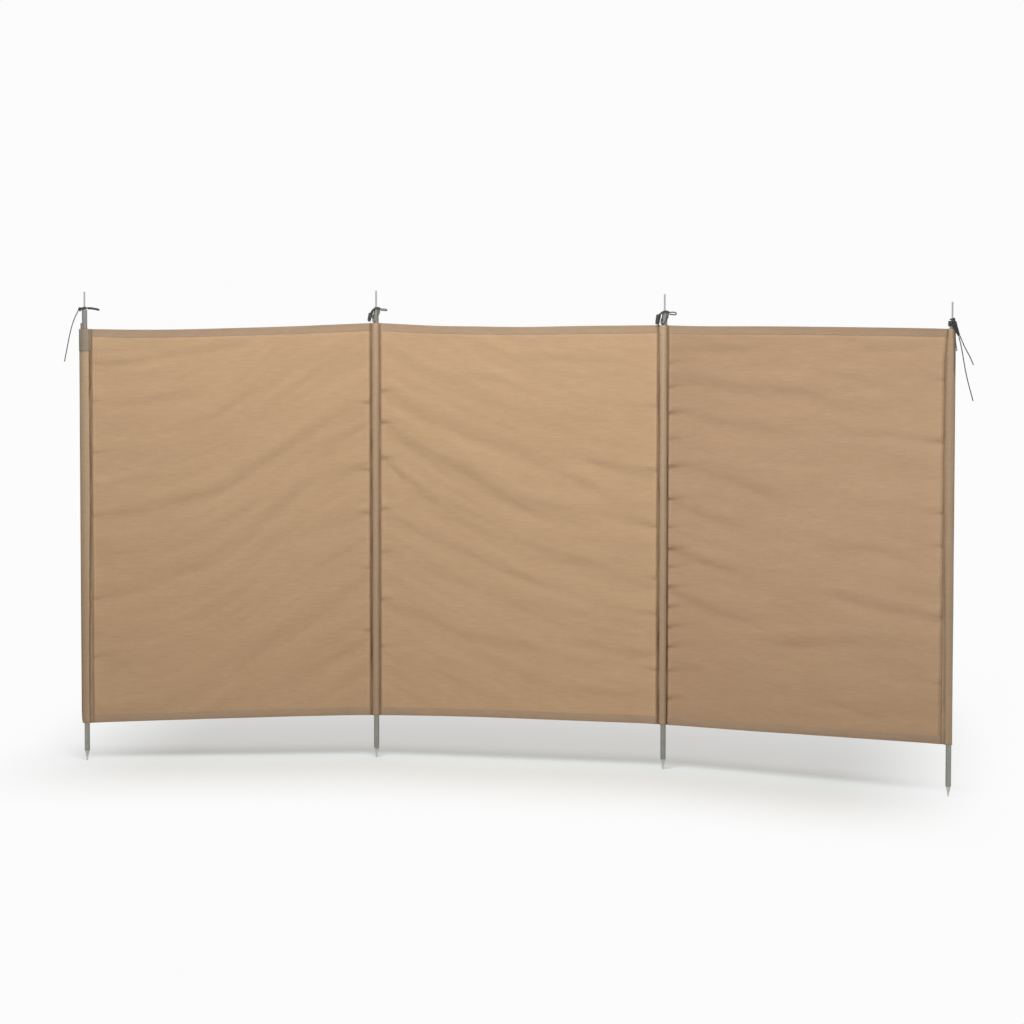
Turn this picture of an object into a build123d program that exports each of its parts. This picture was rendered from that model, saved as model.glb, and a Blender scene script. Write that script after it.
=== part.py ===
from build123d import *
from math import cos, radians, sin, tan
import os

# A beach windbreak: three bays of cloth sewn to sleeves on four steel poles, planted in a
# shallow arc. Millimetres, +Z up. The origin is the blunt end of pole 2's ground point, the
# middle bay runs along +X, and both outer bays turn towards the front, which is -Y.

os.makedirs("parts", exist_ok=True)

# ---- driving dimensions ----
bay_width = 1027.0  # from one pole's axis to the next
bay_turn = 14.0  # degrees that each outer bay turns from the middle one

tube_diameter = 19.0
tube_wall = 1.0
tube_length = 1565.0

plug_clearance = 0.1  # on the radius, between a plug and the bore of the tube
plug_depth = 22.0  # how far the top plug goes into the tube
plug_flange = 2.0
flange_round = 0.8
boss_diameter = 9.0
boss_height = 9.0
boss_chamfer = 0.6
spigot_chamfer = 1.5
rib_count = 6  # crush ribs along each spigot
rib_radius = 0.7
rib_clearance = 0.02  # between a rib's crest and the bore
lead_in = 3.0  # the plain end of a spigot, ahead of its ribs

pin_diameter = 6.0
pin_rise = 66.0  # from the end of the tube to the tip of the pin
pin_nose = 2.0
shank_diameter = 5.0  # of the pin's lower part, which sits in the plug
shank_depth = 18.0  # how far it goes down past the end of the tube
shank_clearance = 0.05

point_length = 36.0  # of the ground point, below the tube
point_root = 16.5  # across the fins, under the shoulder
point_blunt = 3.0  # across the flat end
point_core = 7.0  # across the core that the fins stand on, under the shoulder
fin_thickness = 1.8
point_shoulder = 1.2
shoulder_inset = 0.3
point_depth = 26.0

cloth_height = 1400.0
cloth_thickness = 1.0
hem_width = 28.0
hem_thickness = 2.2
sleeve_gap = 0.4  # between the tube and the cloth round it
soft_gap = 0.3  # between neighbouring soft pieces

seam_depth = 1.0  # the flat where a sleeve meets the cloth beside it

patch_height = 77.0
patch_reach = 17.0  # from the first pole's axis to the patch's cut edge
cuff_height = 20.0
cuff_reach = 13.0  # from the first pole's axis to the middle of the cuff's fold
cuff_fold = 1.5  # the fold's outer radius

cord_diameter = 5.0
thin_cord_diameter = 3.2

# How high each sleeve has slid up its tube, and how far its seams stand from the pole's axis,
# before and after it along the cloth. The last sleeve is wrapped tight round its outer side.
cloth_lifts = [98.0, 116.0, 122.0, 140.0]
seams_before = [19.0, 22.0, 24.0, 25.0]
seams_after = [24.0, 16.0, 16.0, 0.0]

# ---- worked out ----
tube_radius = tube_diameter / 2
bore_radius = tube_radius - tube_wall
tube_bottom = point_length
tube_top = tube_bottom + tube_length
plug_radius = bore_radius - plug_clearance
rib_middle = bore_radius - rib_clearance - rib_radius
sleeve_radius = tube_radius + sleeve_gap + cloth_thickness
boss_top = tube_top + plug_flange + boss_height
cord_radius = cord_diameter / 2
turn_pitch = 0.92 * cord_diameter  # from one turn of cord to the next, in a coil or a knot
turn_groove = (cord_radius**2 - turn_pitch**2 / 4) ** 0.5  # where two turns meet, from their middles

outer_run = bay_width * cos(radians(bay_turn))
outer_drop = -bay_width * sin(radians(bay_turn))
poles = [(-outer_run, outer_drop), (0.0, 0.0), (bay_width, 0.0), (bay_width + outer_run, outer_drop)]
sleeve_turns = [bay_turn, bay_turn / 2, -bay_turn / 2, -bay_turn]


def direction(degrees):
    return Vector(cos(radians(degrees)), sin(radians(degrees)), 0)


def level(pole, height, degrees=0.0):
    """A horizontal plane on a pole's axis, with its X turned by degrees."""
    x, y = poles[pole]
    return Plane(origin=(x, y, height), x_dir=direction(degrees), z_dir=(0, 0, 1))


def upright(pole, height, degrees=0.0):
    """A vertical plane through a pole's axis: X runs along degrees, Y is up."""
    x, y = poles[pole]
    return Plane(origin=(x, y, height), x_dir=direction(degrees), z_dir=direction(degrees - 90))


def leaning(frame, place, degrees):
    """A copy of a frame moved to a place in it, with its X raised by degrees about its Y."""
    axis = Axis(frame.origin, frame.y_dir)
    return Plane(
        origin=frame.from_local_coords(Vector(*place)),
        x_dir=frame.x_dir.rotate(axis, -degrees),
        z_dir=frame.z_dir.rotate(axis, -degrees),
    )


def save(part, name):
    part.label = name
    export_step(part, f"parts/{name}.step")


# ---- poles ----
def make_tube(pole):
    with BuildPart() as tube:
        with BuildSketch(level(pole, tube_bottom)):
            Circle(tube_radius)
            Circle(bore_radius, mode=Mode.SUBTRACT)
        extrude(amount=tube_length)
    return tube.part


def crush_ribs(pole, height):
    """The section of the low ribs on a spigot, which grip the bore of the tube."""
    with BuildSketch(level(pole, height)) as ribs:
        with PolarLocations(rib_middle, rib_count):
            Circle(rib_radius)
    return ribs.sketch


def make_ground_point(pole):
    """A moulded point: four fins that taper to a blunt end, a shoulder and a ribbed spigot."""
    shoulder_radius = tube_radius - shoulder_inset
    fin_top = point_length - point_shoulder
    with BuildPart() as point:
        with BuildSketch(upright(pole, 0)):
            with BuildLine():
                Polyline(
                    (0, 0),
                    (point_blunt / 2, 0),
                    (point_core / 2, fin_top),
                    (shoulder_radius, fin_top),
                    (shoulder_radius, point_length),
                    (plug_radius, point_length),
                    (plug_radius, point_length + point_depth - spigot_chamfer),
                    (plug_radius - spigot_chamfer, point_length + point_depth),
                    (0, point_length + point_depth),
                    close=True,
                )
            make_face()
        revolve(axis=Axis(poles[pole] + (0,), (0, 0, 1)))
        for turn in (0, 90):
            with BuildSketch(upright(pole, 0, turn)):
                with BuildLine():
                    Polyline(
                        (-point_blunt / 2, 0), (point_blunt / 2, 0), (point_root / 2, fin_top),
                        (-point_root / 2, fin_top), close=True,
                    )
                make_face()
            extrude(amount=fin_thickness / 2, both=True)
        extrude(crush_ribs(pole, point_length), amount=point_depth - lead_in)
    return point.part


def make_top_plug(pole):
    """A moulded plug: ribbed spigot, flange on the tube's end, and a boss with a blind bore."""
    with BuildPart() as plug:
        with BuildSketch(level(pole, tube_top - plug_depth)):
            Circle(plug_radius)
        extrude(amount=plug_depth)
        chamfer(plug.edges().group_by(Axis.Z)[0], spigot_chamfer)
        extrude(crush_ribs(pole, tube_top - plug_depth + lead_in), amount=plug_depth - lead_in)
        with BuildSketch(level(pole, tube_top)):
            Circle(tube_radius)
        extrude(amount=plug_flange)
        fillet(plug.edges().group_by(Axis.Z)[-1], flange_round)
        with BuildSketch(level(pole, tube_top + plug_flange)):
            Circle(boss_diameter / 2)
        extrude(amount=boss_height)
        chamfer(plug.edges().group_by(Axis.Z)[-1], boss_chamfer)
        with BuildSketch(level(pole, tube_top - shank_depth)):
            Circle(shank_diameter / 2 + shank_clearance)
        extrude(amount=shank_depth + plug_flange + boss_height, mode=Mode.SUBTRACT)
    return plug.part


def make_pin(pole):
    """A steel pin with a rounded nose: its shoulder stands on the boss, its shank in the bore."""
    with BuildPart() as pin:
        with BuildSketch(level(pole, tube_top - shank_depth)):
            Circle(shank_diameter / 2)
        extrude(amount=shank_depth + plug_flange + boss_height)
        with BuildSketch(level(pole, boss_top)):
            Circle(pin_diameter / 2)
        extrude(amount=tube_top + pin_rise - boss_top)
        fillet(pin.edges().group_by(Axis.Z)[-1], pin_nose)
    return pin.part


# ---- cloth ----
def sleeve_outline(pole, grow=0.0):
    """Round over the tube and drawn flat to a seam on each side; grow sets it outwards."""
    with BuildSketch() as outline:
        Circle(sleeve_radius + grow)
        for side, reach in ((-1, seams_before[pole]), (1, seams_after[pole])):
            if reach > sleeve_radius:
                with Locations((side * (reach + grow - seam_depth / 2), 0)):
                    Rectangle(seam_depth, hem_thickness + 2 * grow)
        make_hull()
    return outline.sketch


def make_sleeve(pole):
    """A sewn pocket for a tube, open at both ends."""
    base = level(pole, tube_bottom + cloth_lifts[pole], sleeve_turns[pole])
    with BuildPart() as sleeve:
        with BuildSketch(base):
            add(sleeve_outline(pole))
        extrude(amount=cloth_height)
        offset(amount=-cloth_thickness, openings=sleeve.faces().filter_by(Axis.Z))
    return sleeve.part


def make_patch():
    """A second layer round the head of the first sleeve, cut off short of its seam."""
    top = tube_bottom + cloth_lifts[0] + cloth_height
    base = level(0, top - patch_height, sleeve_turns[0])
    reach = patch_reach + seams_before[0] + soft_gap + cloth_thickness
    with BuildPart() as patch:
        with BuildSketch(base):
            add(sleeve_outline(0, soft_gap + cloth_thickness))
            add(sleeve_outline(0, soft_gap), mode=Mode.SUBTRACT)
            with Locations((patch_reach - reach / 2, 0)):
                Rectangle(reach, tube_diameter * 2, mode=Mode.INTERSECT)
        extrude(amount=patch_height)
    return patch.part


def make_cuff():
    """A short collar of cloth that stands out of the first sleeve's head, folded on one side."""
    top = tube_bottom + cloth_lifts[0] + cloth_height
    with BuildPart() as cuff:
        for inset, mode in ((0, Mode.ADD), (cloth_thickness, Mode.SUBTRACT)):
            with BuildSketch(level(0, top + soft_gap, sleeve_turns[0])):
                Circle(sleeve_radius - inset)
                with Locations((-cuff_reach, 0)):
                    Circle(cuff_fold - inset)
                make_hull()
            extrude(amount=cuff_height, mode=mode)
    return cuff.part


def bay_frame(bay):
    """The upright plane of a bay's cloth, from seam to seam, and the cloth's width."""
    ends = []
    for pole, reach in ((bay, seams_after[bay] + soft_gap), (bay + 1, -seams_before[bay + 1] - soft_gap)):
        ends.append(Vector(*poles[pole]) + direction(sleeve_turns[pole]) * reach)
    along = ends[1] - ends[0]
    plane = Plane(origin=ends[0], x_dir=along, z_dir=along.rotate(Axis.Z, -90))
    return plane, along.length


def make_strip(bay, bottom, top, thickness):
    """Part of a bay's cloth between two heights above the cloth's lower edge."""
    plane, width = bay_frame(bay)
    left, right = (tube_bottom + lift for lift in cloth_lifts[bay:bay + 2])
    with BuildPart() as strip:
        with BuildSketch(plane):
            with BuildLine():
                Polyline(
                    (0, left + bottom), (width, right + bottom), (width, right + top), (0, left + top),
                    close=True,
                )
            make_face()
        extrude(amount=thickness / 2, both=True)
    return strip.part


# ---- cord ----
def bend_radii(points):
    """The arc at each corner: as large as the shorter of its two runs allows."""
    radii = []
    for before, corner, after in zip(points, points[1:], points[2:]):
        turn = (corner - before).get_angle(after - corner)
        shorter = min((corner - before).length, (after - corner).length)
        radii.append(0.45 * shorter / tan(radians(turn) / 2))
    return radii


def make_cord(name, frame, route, diameter):
    """A round cord along a route given in a pole head's own frame."""
    points = [frame.from_local_coords(Vector(*point)) for point in route]
    radii = bend_radii(points)
    with BuildPart() as cord:
        with BuildLine() as path:
            FilletPolyline(*points, radius=radii)
        line = path.wires()[0]
        with BuildSketch(Plane(origin=line @ 0, z_dir=line % 0)):
            Circle(diameter / 2)
        sweep(path=line)
    expected = line.length * 3.14159265 * (diameter / 2) ** 2
    print(f"{name}: length {line.length:.1f}, smallest radius {min(radii):.1f}, "
          f"volume {cord.part.volume / expected:.4f} of its section times its length")
    return cord.part


def make_hitch(frame, centre, drop, held_radius):
    """One turn of cord round something upright, lower by drop on the frame's left."""
    half_width = held_radius + soft_gap + cord_radius
    tilt = Vector(2 * half_width, 0, drop).get_angle(Vector(1, 0, 0))
    half_length = half_width / cos(radians(tilt))
    straight = half_length - half_width
    with BuildPart() as hitch:
        with BuildLine(leaning(frame, (0, 0, centre), tilt)) as loop:
            Line((-straight, half_width), (straight, half_width))
            CenterArc((straight, 0), half_width, 90, -180)
            Line((straight, -half_width), (-straight, -half_width))
            CenterArc((-straight, 0), half_width, 270, -180)
        line = loop.wires()[0]
        with BuildSketch(Plane(origin=line @ 0, z_dir=line % 0)):
            Circle(cord_radius)
        sweep(path=line)
    return hitch.part


def turn_outline(middles):
    """The outer side of turns of cord side by side, a flat between two bevels for each, from the
    foot up. middles holds the radius of each turn's middle; heights are from half-way up."""
    foot = -turn_pitch * len(middles) / 2
    points = []
    for turn, middle in enumerate(middles):
        base = foot + turn_pitch * turn
        points += [
            (middle + turn_groove, base),
            (middle + cord_radius, base + turn_pitch / 4),
            (middle + cord_radius, base + turn_pitch * 3 / 4),
        ]
    return points + [(middles[-1] + turn_groove, -foot)]


def revolve_turns(frame, middles, inner_radius=0.0):
    """Turns of cord round a frame's Z, filled in to the inner radius."""
    outline = turn_outline(middles)
    with BuildPart() as turns:
        with BuildSketch(Plane(origin=frame.origin, x_dir=frame.x_dir, z_dir=-frame.y_dir)):
            with BuildLine():
                Polyline(
                    (inner_radius, outline[0][1]), *outline, (inner_radius, outline[-1][1]), close=True
                )
            make_face()
        revolve(axis=Axis(frame.origin, frame.z_dir))
    return turns.part


def make_coil(frame, centre, held_radius, wraps):
    """Level turns of cord side by side round something upright."""
    inner_radius = held_radius + soft_gap
    return revolve_turns(
        leaning(frame, (0, 0, centre), 0), [inner_radius + cord_radius] * wraps, inner_radius
    )


def make_knot(frame, middle, lean, wraps, head_core, foot_core):
    """A barrel knot: turns of cord side by side round the cord's own core, tapering to its foot."""
    core_growth = (head_core - foot_core) / (wraps - 1)
    return revolve_turns(
        leaning(frame, middle, lean), [foot_core + core_growth * turn for turn in range(wraps)]
    )


# ---- build ----
for pole in range(4):
    number = pole + 1
    save(make_tube(pole), f"pole_tube_{number}")
    save(make_ground_point(pole), f"ground_point_{number}")
    save(make_top_plug(pole), f"top_plug_{number}")
    save(make_pin(pole), f"top_pin_{number}")
    save(make_sleeve(pole), f"sleeve_{number}")

for bay in range(3):
    number = bay + 1
    save(make_strip(bay, hem_width, cloth_height - hem_width, cloth_thickness), f"bay_cloth_{number}")
    save(make_strip(bay, cloth_height - hem_width, cloth_height, hem_thickness), f"top_hem_{number}")
    save(make_strip(bay, 0, hem_width, hem_thickness), f"bottom_hem_{number}")

# The first sleeve has a second layer round its head, and a cuff that stands out of it.
save(make_patch(), "sleeve_patch_1")
save(make_cuff(), "sleeve_cuff_1")

# Pole heads: X runs to the right, Y away from the front, Z up from the tube's end.
cord_turn = 10.0
heads = [level(pole, tube_top, cord_turn) for pole in range(4)]

# Each hitch: the height of its middle, its drop, the way its high side faces in degrees, and
# what it goes round. The last head has a coil instead, of level turns.
hitches = [
    (5.6, 2.0, 0, boss_diameter / 2),
    (-21.0, 46.0, 45, tube_radius),
    (-19.0, 40.0, 45, tube_radius),
]
for pole, (middle, drop, facing, held_radius) in enumerate(hitches):
    frame = level(pole, tube_top, cord_turn + facing)
    save(make_hitch(frame, middle, drop, held_radius), f"cord_hitch_{pole + 1}")
coil_middle, coil_wraps = -8.0, 4
save(make_coil(heads[3], coil_middle, tube_radius, coil_wraps), "cord_hitch_4")
held_radii = [held_radius for *_, held_radius in hitches] + [tube_radius]

# Each knot lies against its hitch: the side it is on, its lean, turns, the core at its head and
# at its foot, and its foot's height.
knots = [
    ((-1, 0), -35, 3, 3.2, 3.2, -1.4),
    ((-1, 0), -12, 7, 4.0, 3.4, -44.0),
    ((-1, 0), -9, 8, 5.4, 4.6, -41.6),
    ((0, -1), 24, 10, 8.6, 2.6, -47.0),
]
knot_4_shift = 10.0  # how far the last knot stands to the right of its pole's axis
knot_feet = []
for pole, (side, lean, wraps, head_core, foot_core, foot) in enumerate(knots):
    slant, core = (cos(radians(lean)), foot_core) if side[0] else (1.0, head_core)
    reach = held_radii[pole] + soft_gap + cord_radius + (cord_diameter + soft_gap + core) / slant
    x, y = side[0] * reach + (knot_4_shift if side[1] else 0.0), side[1] * reach
    run, rise = (wraps * turn_pitch / 2 * part for part in (sin(radians(lean)), cos(radians(lean))))
    knot = make_knot(heads[pole], (x, y, foot + rise), lean, wraps, head_core, foot_core)
    save(knot, f"cord_knot_{pole + 1}")
    knot_feet.append(leaning(heads[pole], (x + run, y, foot), 0))

# Bights stand out to the right of the first three hitches, each measured from its hitch's side.
bights = {
    "cord_bight_1": (0, [(0.4, -2.2, 8.3), (11.2, -3.0, 8.6), (22.2, -4.0, 7.4), (33.2, -5.0, 5.4),
                         (42.2, -5.2, 3.0), (41.2, 4.8, -1.4), (32.2, 4.4, 1.0), (21.7, 3.4, 3.2),
                         (11.2, 2.8, 4.2), (0.7, 2.2, 4.6)]),
    "cord_bight_2": (1, [(1.2, -2.2, 0.9), (7.8, -2.9, 1.9), (14.9, -3.3, 1.9), (23.4, -3.5, 0.5),
                         (23.4, 3.6, -6.6), (14.9, 3.2, -5.2), (7.8, 2.8, -4.6), (1.8, 2.4, -4.6)]),
    "cord_bight_3": (2, [(1.2, -1.6, 1.4), (8.2, -1.8, 2.6), (15.9, -1.9, 2.4), (24.9, -2.0, 1.0),
                         (24.4, 2.0, -7.6), (15.4, 1.9, -6.4), (8.2, 1.8, -5.4), (1.9, 1.6, -5.2)]),
}
for name, (pole, route) in bights.items():
    side = held_radii[pole] + soft_gap + cord_diameter
    save(make_cord(name, leaning(heads[pole], (side, 0, 0), 0), route, cord_diameter), name)

# Thin tails hang from the first and the last knot, each measured from its knot's foot.
tails = {
    "cord_tail_1": (0, [(-0.4, 0, -0.6), (-8.9, -1.0, -24.1), (-17.4, -2.0, -52.1), (-25.4, -2.5, -84.1),
                        (-33.4, -2.0, -117.1), (-41.4, -1.0, -150.1), (-50.4, 0, -182.1)]),
    "cord_tail_4a": (3, [(2.6, 0, 0.3), (12.6, -1.1, -18.3), (25.9, -1.9, -42.3),
                         (40.4, -1.4, -67.3), (54.9, 0.1, -92.3)]),
    "cord_tail_4b": (3, [(-1.4, 0, -1.4), (5.9, -2.9, -28.3), (14.9, -4.9, -60.3), (23.9, -5.9, -97.3),
                         (32.9, -5.9, -136.3), (42.9, -4.9, -175.3), (53.9, -2.9, -214.3)]),
    "cord_tail_4c": (3, [(-13.2, -1.0, 9.0), (-13.0, -1.4, -9.5), (-10.8, -1.4, -29.0), (-7.6, -0.8, -50.0)]),
}
for name, (pole, route) in tails.items():
    save(make_cord(name, knot_feet[pole], route, thin_cord_diameter), name)
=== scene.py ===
import math

import bpy
import numpy as np
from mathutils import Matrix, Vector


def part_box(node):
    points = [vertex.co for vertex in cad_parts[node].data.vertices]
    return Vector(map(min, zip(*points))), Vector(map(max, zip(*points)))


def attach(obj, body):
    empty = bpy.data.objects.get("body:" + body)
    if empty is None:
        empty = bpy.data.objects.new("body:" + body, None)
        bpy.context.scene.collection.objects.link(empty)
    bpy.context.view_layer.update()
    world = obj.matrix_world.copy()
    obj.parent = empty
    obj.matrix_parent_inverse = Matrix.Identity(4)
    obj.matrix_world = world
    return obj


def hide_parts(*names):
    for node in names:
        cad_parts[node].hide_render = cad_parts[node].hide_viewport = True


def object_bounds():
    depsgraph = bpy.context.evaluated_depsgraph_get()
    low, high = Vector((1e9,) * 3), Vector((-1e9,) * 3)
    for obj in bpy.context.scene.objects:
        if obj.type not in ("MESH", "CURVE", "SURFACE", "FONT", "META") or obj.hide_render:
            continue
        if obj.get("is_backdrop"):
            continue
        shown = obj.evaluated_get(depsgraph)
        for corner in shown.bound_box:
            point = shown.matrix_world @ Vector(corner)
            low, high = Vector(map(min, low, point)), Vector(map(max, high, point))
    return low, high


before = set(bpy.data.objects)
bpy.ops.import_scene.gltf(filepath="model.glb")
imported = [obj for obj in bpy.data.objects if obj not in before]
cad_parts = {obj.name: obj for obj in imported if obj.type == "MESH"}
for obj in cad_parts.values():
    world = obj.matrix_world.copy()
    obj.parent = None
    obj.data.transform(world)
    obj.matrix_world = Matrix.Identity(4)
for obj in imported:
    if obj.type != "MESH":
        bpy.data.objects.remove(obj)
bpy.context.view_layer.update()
mm = 0.001

# Camera: from the right of the middle, tipped a little down and its view shifted down for the rest,
# so that the poles stay nearly upright and turned views still hold the whole windbreak.
viewSetup = {"place": (2.403, -10.741, 2.305), "turn": 11.239, "down": 3.248, "lens": 109.57,
             "shift": (0.06, -0.22)}

viewData = bpy.data.cameras.new("viewCamera")
viewData.lens = viewSetup["lens"]
viewData.shift_x, viewData.shift_y = viewSetup["shift"]
viewCamera = bpy.data.objects.new("viewCamera", viewData)
viewCamera.location = viewSetup["place"]
viewCamera.rotation_euler = (math.radians(90 - viewSetup["down"]), 0, math.radians(viewSetup["turn"]))
bpy.context.collection.objects.link(viewCamera)
bpy.context.scene.camera = viewCamera
print("camera placed")


def linear(colour):
    channels = [int(colour[i:i + 2], 16) / 255 for i in (1, 3, 5)]
    return [c / 12.92 if c <= 0.04045 else ((c + 0.055) / 1.055) ** 2.4 for c in channels] + [1.0]


# Adds a node. Each setting is one of its inputs, by name or number, or one of its own properties, and an
# input is given a value or another node's output.
def addNode(tree, kind, settings=None):
    made = tree.nodes.new(kind)
    for name, value in (settings or {}).items():
        if not isinstance(name, int) and name not in made.inputs:
            setattr(made, name, value)
        elif isinstance(value, bpy.types.NodeSocket):
            tree.links.new(value, made.inputs[name])
        else:
            made.inputs[name].default_value = value
    return made


def newMaterial(name):
    material = bpy.data.materials.new(name)
    material.use_nodes = True
    material.node_tree.nodes.clear()
    return material, material.node_tree


def finishMaterial(tree, settings):
    shader = addNode(tree, "ShaderNodeBsdfPrincipled", settings)
    addNode(tree, "ShaderNodeOutputMaterial", {"Surface": shader.outputs[0]})


# A finish with one fine grain, its scale in cycles a metre across and along Z. The grain shades
# between two colours and, where they are given, sets the roughness between two values and raises the
# surface by a strength and a depth in mm. Blooms are larger and shade the colour in its place.
def makeFinish(name, across, along, detail, colours, settings, roughness=None, relief=None, blooms=None):
    material, tree = newMaterial(name)
    place = addNode(tree, "ShaderNodeTexCoord").outputs["Object"]
    stretched = addNode(tree, "ShaderNodeMapping",
                        {"Vector": place, "Scale": (across, across, along)}).outputs[0]
    grain = addNode(tree, "ShaderNodeTexNoise",
                    {"Vector": stretched, "Scale": 1.0, "Detail": detail}).outputs["Fac"]
    tone = addNode(tree, "ShaderNodeTexNoise", {"Vector": place, **blooms}).outputs["Fac"] if blooms else grain
    shade = addNode(tree, "ShaderNodeValToRGB", {"Fac": tone})
    for element, colour in zip(shade.color_ramp.elements, colours):
        element.color = linear(colour)
    settings = {"Base Color": shade.outputs["Color"], **settings}
    if roughness:
        settings["Roughness"] = addNode(tree, "ShaderNodeMapRange", {
            "Value": grain, "To Min": roughness[0], "To Max": roughness[1]}).outputs["Result"]
    if relief:
        settings["Normal"] = addNode(tree, "ShaderNodeBump", {
            "Height": grain, "Strength": relief[0], "Distance": relief[1] * mm}).outputs["Normal"]
    finishMaterial(tree, settings)
    return material


# Points, map and shade may come as grids.
def makePiece(name, points, faces, material, uvs=None, shade=None):
    mesh = bpy.data.meshes.new(name)
    mesh.from_pydata(np.reshape(points, (-1, 3)).tolist(), [], faces)
    if uvs is not None:
        layer = mesh.uv_layers.new(name="clothMap")
        corners = np.empty(len(mesh.loops), int)
        mesh.loops.foreach_get("vertex_index", corners)
        layer.data.foreach_set("uv", np.reshape(uvs, (-1, 2))[corners].ravel())
    if shade is not None:
        mesh.attributes.new("shade", "FLOAT", "POINT").data.foreach_set("value", np.ravel(shade))
    mesh.polygons.foreach_set("use_smooth", [True] * len(mesh.polygons))
    mesh.materials.append(material)
    piece = bpy.data.objects.new(name, mesh)
    bpy.context.collection.objects.link(piece)
    return piece


def addThickness(piece, thickness, offset=-1):
    wall = piece.modifiers.new("thickness", "SOLIDIFY")
    wall.thickness, wall.offset = thickness * mm, offset


def finishPiece(piece, node):
    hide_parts(node)
    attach(piece, "root")


def gridFaces(rows, columns, wrap=False, flip=False):
    faces = []
    for row in range(rows - 1):
        for column in range(columns if wrap else columns - 1):
            after = (column + 1) % columns
            face = (row * columns + column, row * columns + after,
                    (row + 1) * columns + after, (row + 1) * columns + column)
            faces.append(face[::-1] if flip else face)
    return faces


def smoothStep(value):
    value = np.clip(value, 0, 1)
    return value * value * (3 - 2 * value)


def bell(value):
    return np.exp(-value**2)


# A rise and a dip side by side, each 1 high at 1 from the middle.
def riseAndDip(value):
    return value * np.exp(0.5 - value**2 / 2)


def wrapAngle(angle):
    return (angle + math.pi) % (2 * math.pi) - math.pi


# Smooth noise from -1 to 1 on a lattice with a spacing of 1.
def softNoise(x, y, seed, size=64):
    lattice = np.random.default_rng(seed).uniform(-1, 1, (size, size))
    x, y = np.broadcast_arrays(np.asarray(x, float), np.asarray(y, float))
    column, row = np.floor(x).astype(int), np.floor(y).astype(int)
    acrossPart, downPart = smoothStep(x - column), smoothStep(y - row)
    left, right = column % size, (column + 1) % size
    upper, lower = (lattice[line % size, left] * (1 - acrossPart) + lattice[line % size, right] * acrossPart
                    for line in (row, row + 1))
    return upper * (1 - downPart) + lower * downPart


def smoothLine(points, steps=6):
    points = np.array(points, float)
    padded = np.vstack([2 * points[0] - points[1], points, 2 * points[-1] - points[-2]])
    line = []
    for a, b, c, d in zip(padded, padded[1:], padded[2:], padded[3:]):
        for t in np.arange(steps) / steps:
            line.append(0.5 * (2 * b + (c - a) * t + (2 * a - 5 * b + 4 * c - d) * t**2
                               + (3 * b - a - 3 * c + d) * t**3))
    return np.array(line + [points[-1]])


def direction(degrees):
    return np.array([math.cos(math.radians(degrees)), math.sin(math.radians(degrees)), 0.0])


# Where the poles stand, and the way each bay and each sleeve runs.
poleFeet, poleHeads = [], []
for pole in range(4):
    low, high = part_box(f"pole_tube_{pole + 1}")
    poleFeet.append(np.array([(low.x + high.x) / 2, (low.y + high.y) / 2, 0.0]))
    poleHeads.append(high.z)
bayAngles = [math.degrees(math.atan2(*(right - left)[1::-1])) for left, right in zip(poleFeet, poleFeet[1:])]
sleeveAngles = [(before + after) / 2 for before, after in zip([bayAngles[0], *bayAngles],
                                                              [*bayAngles, bayAngles[2]])]

# Braided polyester cord: a soft sheen on each bundle of threads, dark gaps between them. The second
# head's hitch and loop have weathered to a mid grey, and the last head's cord is newer and blacker.
cordBraid, cordFaded, cordBlack = [
    makeFinish(name, 900.0, 900.0, 3.0, colours, {"IOR": 1.55, "Sheen Weight": 0.2},  # yarns 1.1 mm apart
               roughness=(0.5, 0.75), relief=(0.5, 0.1))
    for name, colours in (("braidedPolyesterCharcoal", ("#2a2927", "#595751")),
                          ("braidedPolyesterFaded", ("#64635f", "#9c9a94")),
                          ("braidedPolyesterBlack", ("#191817", "#3c3b38")))]

# Twisted polyester twine, weathered grey: faint streaks from the yarn, matt all over.
twineTwist = makeFinish("twistedPolyesterGrey", 700.0, 700.0, 3.0, ("#3f3e3b", "#726f69"),  # yarns 1.4 mm apart
                        {"IOR": 1.55, "Roughness": 0.8, "Sheen Weight": 0.2}, relief=(0.4, 0.1))


# Starts a Geometry Nodes tree that works on a line of edges, evened out to the length of one input.
def startTree(name, counts, sizes, step):
    tree = bpy.data.node_groups.new(name, "GeometryNodeTree")
    for kind, sockets in (("Geometry", ["Line"]), ("Int", counts), ("Float", sizes)):
        for socket in sockets:
            tree.interface.new_socket(socket, in_out="INPUT", socket_type="NodeSocket" + kind)
    given = addNode(tree, "NodeGroupInput").outputs
    curve = addNode(tree, "GeometryNodeMeshToCurve", {"Mesh": given["Line"]}).outputs[0]
    evened = addNode(tree, "GeometryNodeResampleCurve",
                     {"mode": "LENGTH", "Curve": curve, "Length": given[step]}).outputs[0]
    return tree, given, evened


def endTree(tree, geometry, result, material):
    tree.interface.new_socket(result, in_out="OUTPUT", socket_type="NodeSocketGeometry")
    realized = addNode(tree, "GeometryNodeRealizeInstances", {"Geometry": geometry}).outputs[0]
    smooth = addNode(tree, "GeometryNodeSetShadeSmooth", {"Geometry": realized}).outputs[0]
    painted = addNode(tree, "GeometryNodeSetMaterial", {"Geometry": smooth, "Material": material}).outputs[0]
    addNode(tree, "NodeGroupOutput", {0: painted})
    return tree


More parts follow.
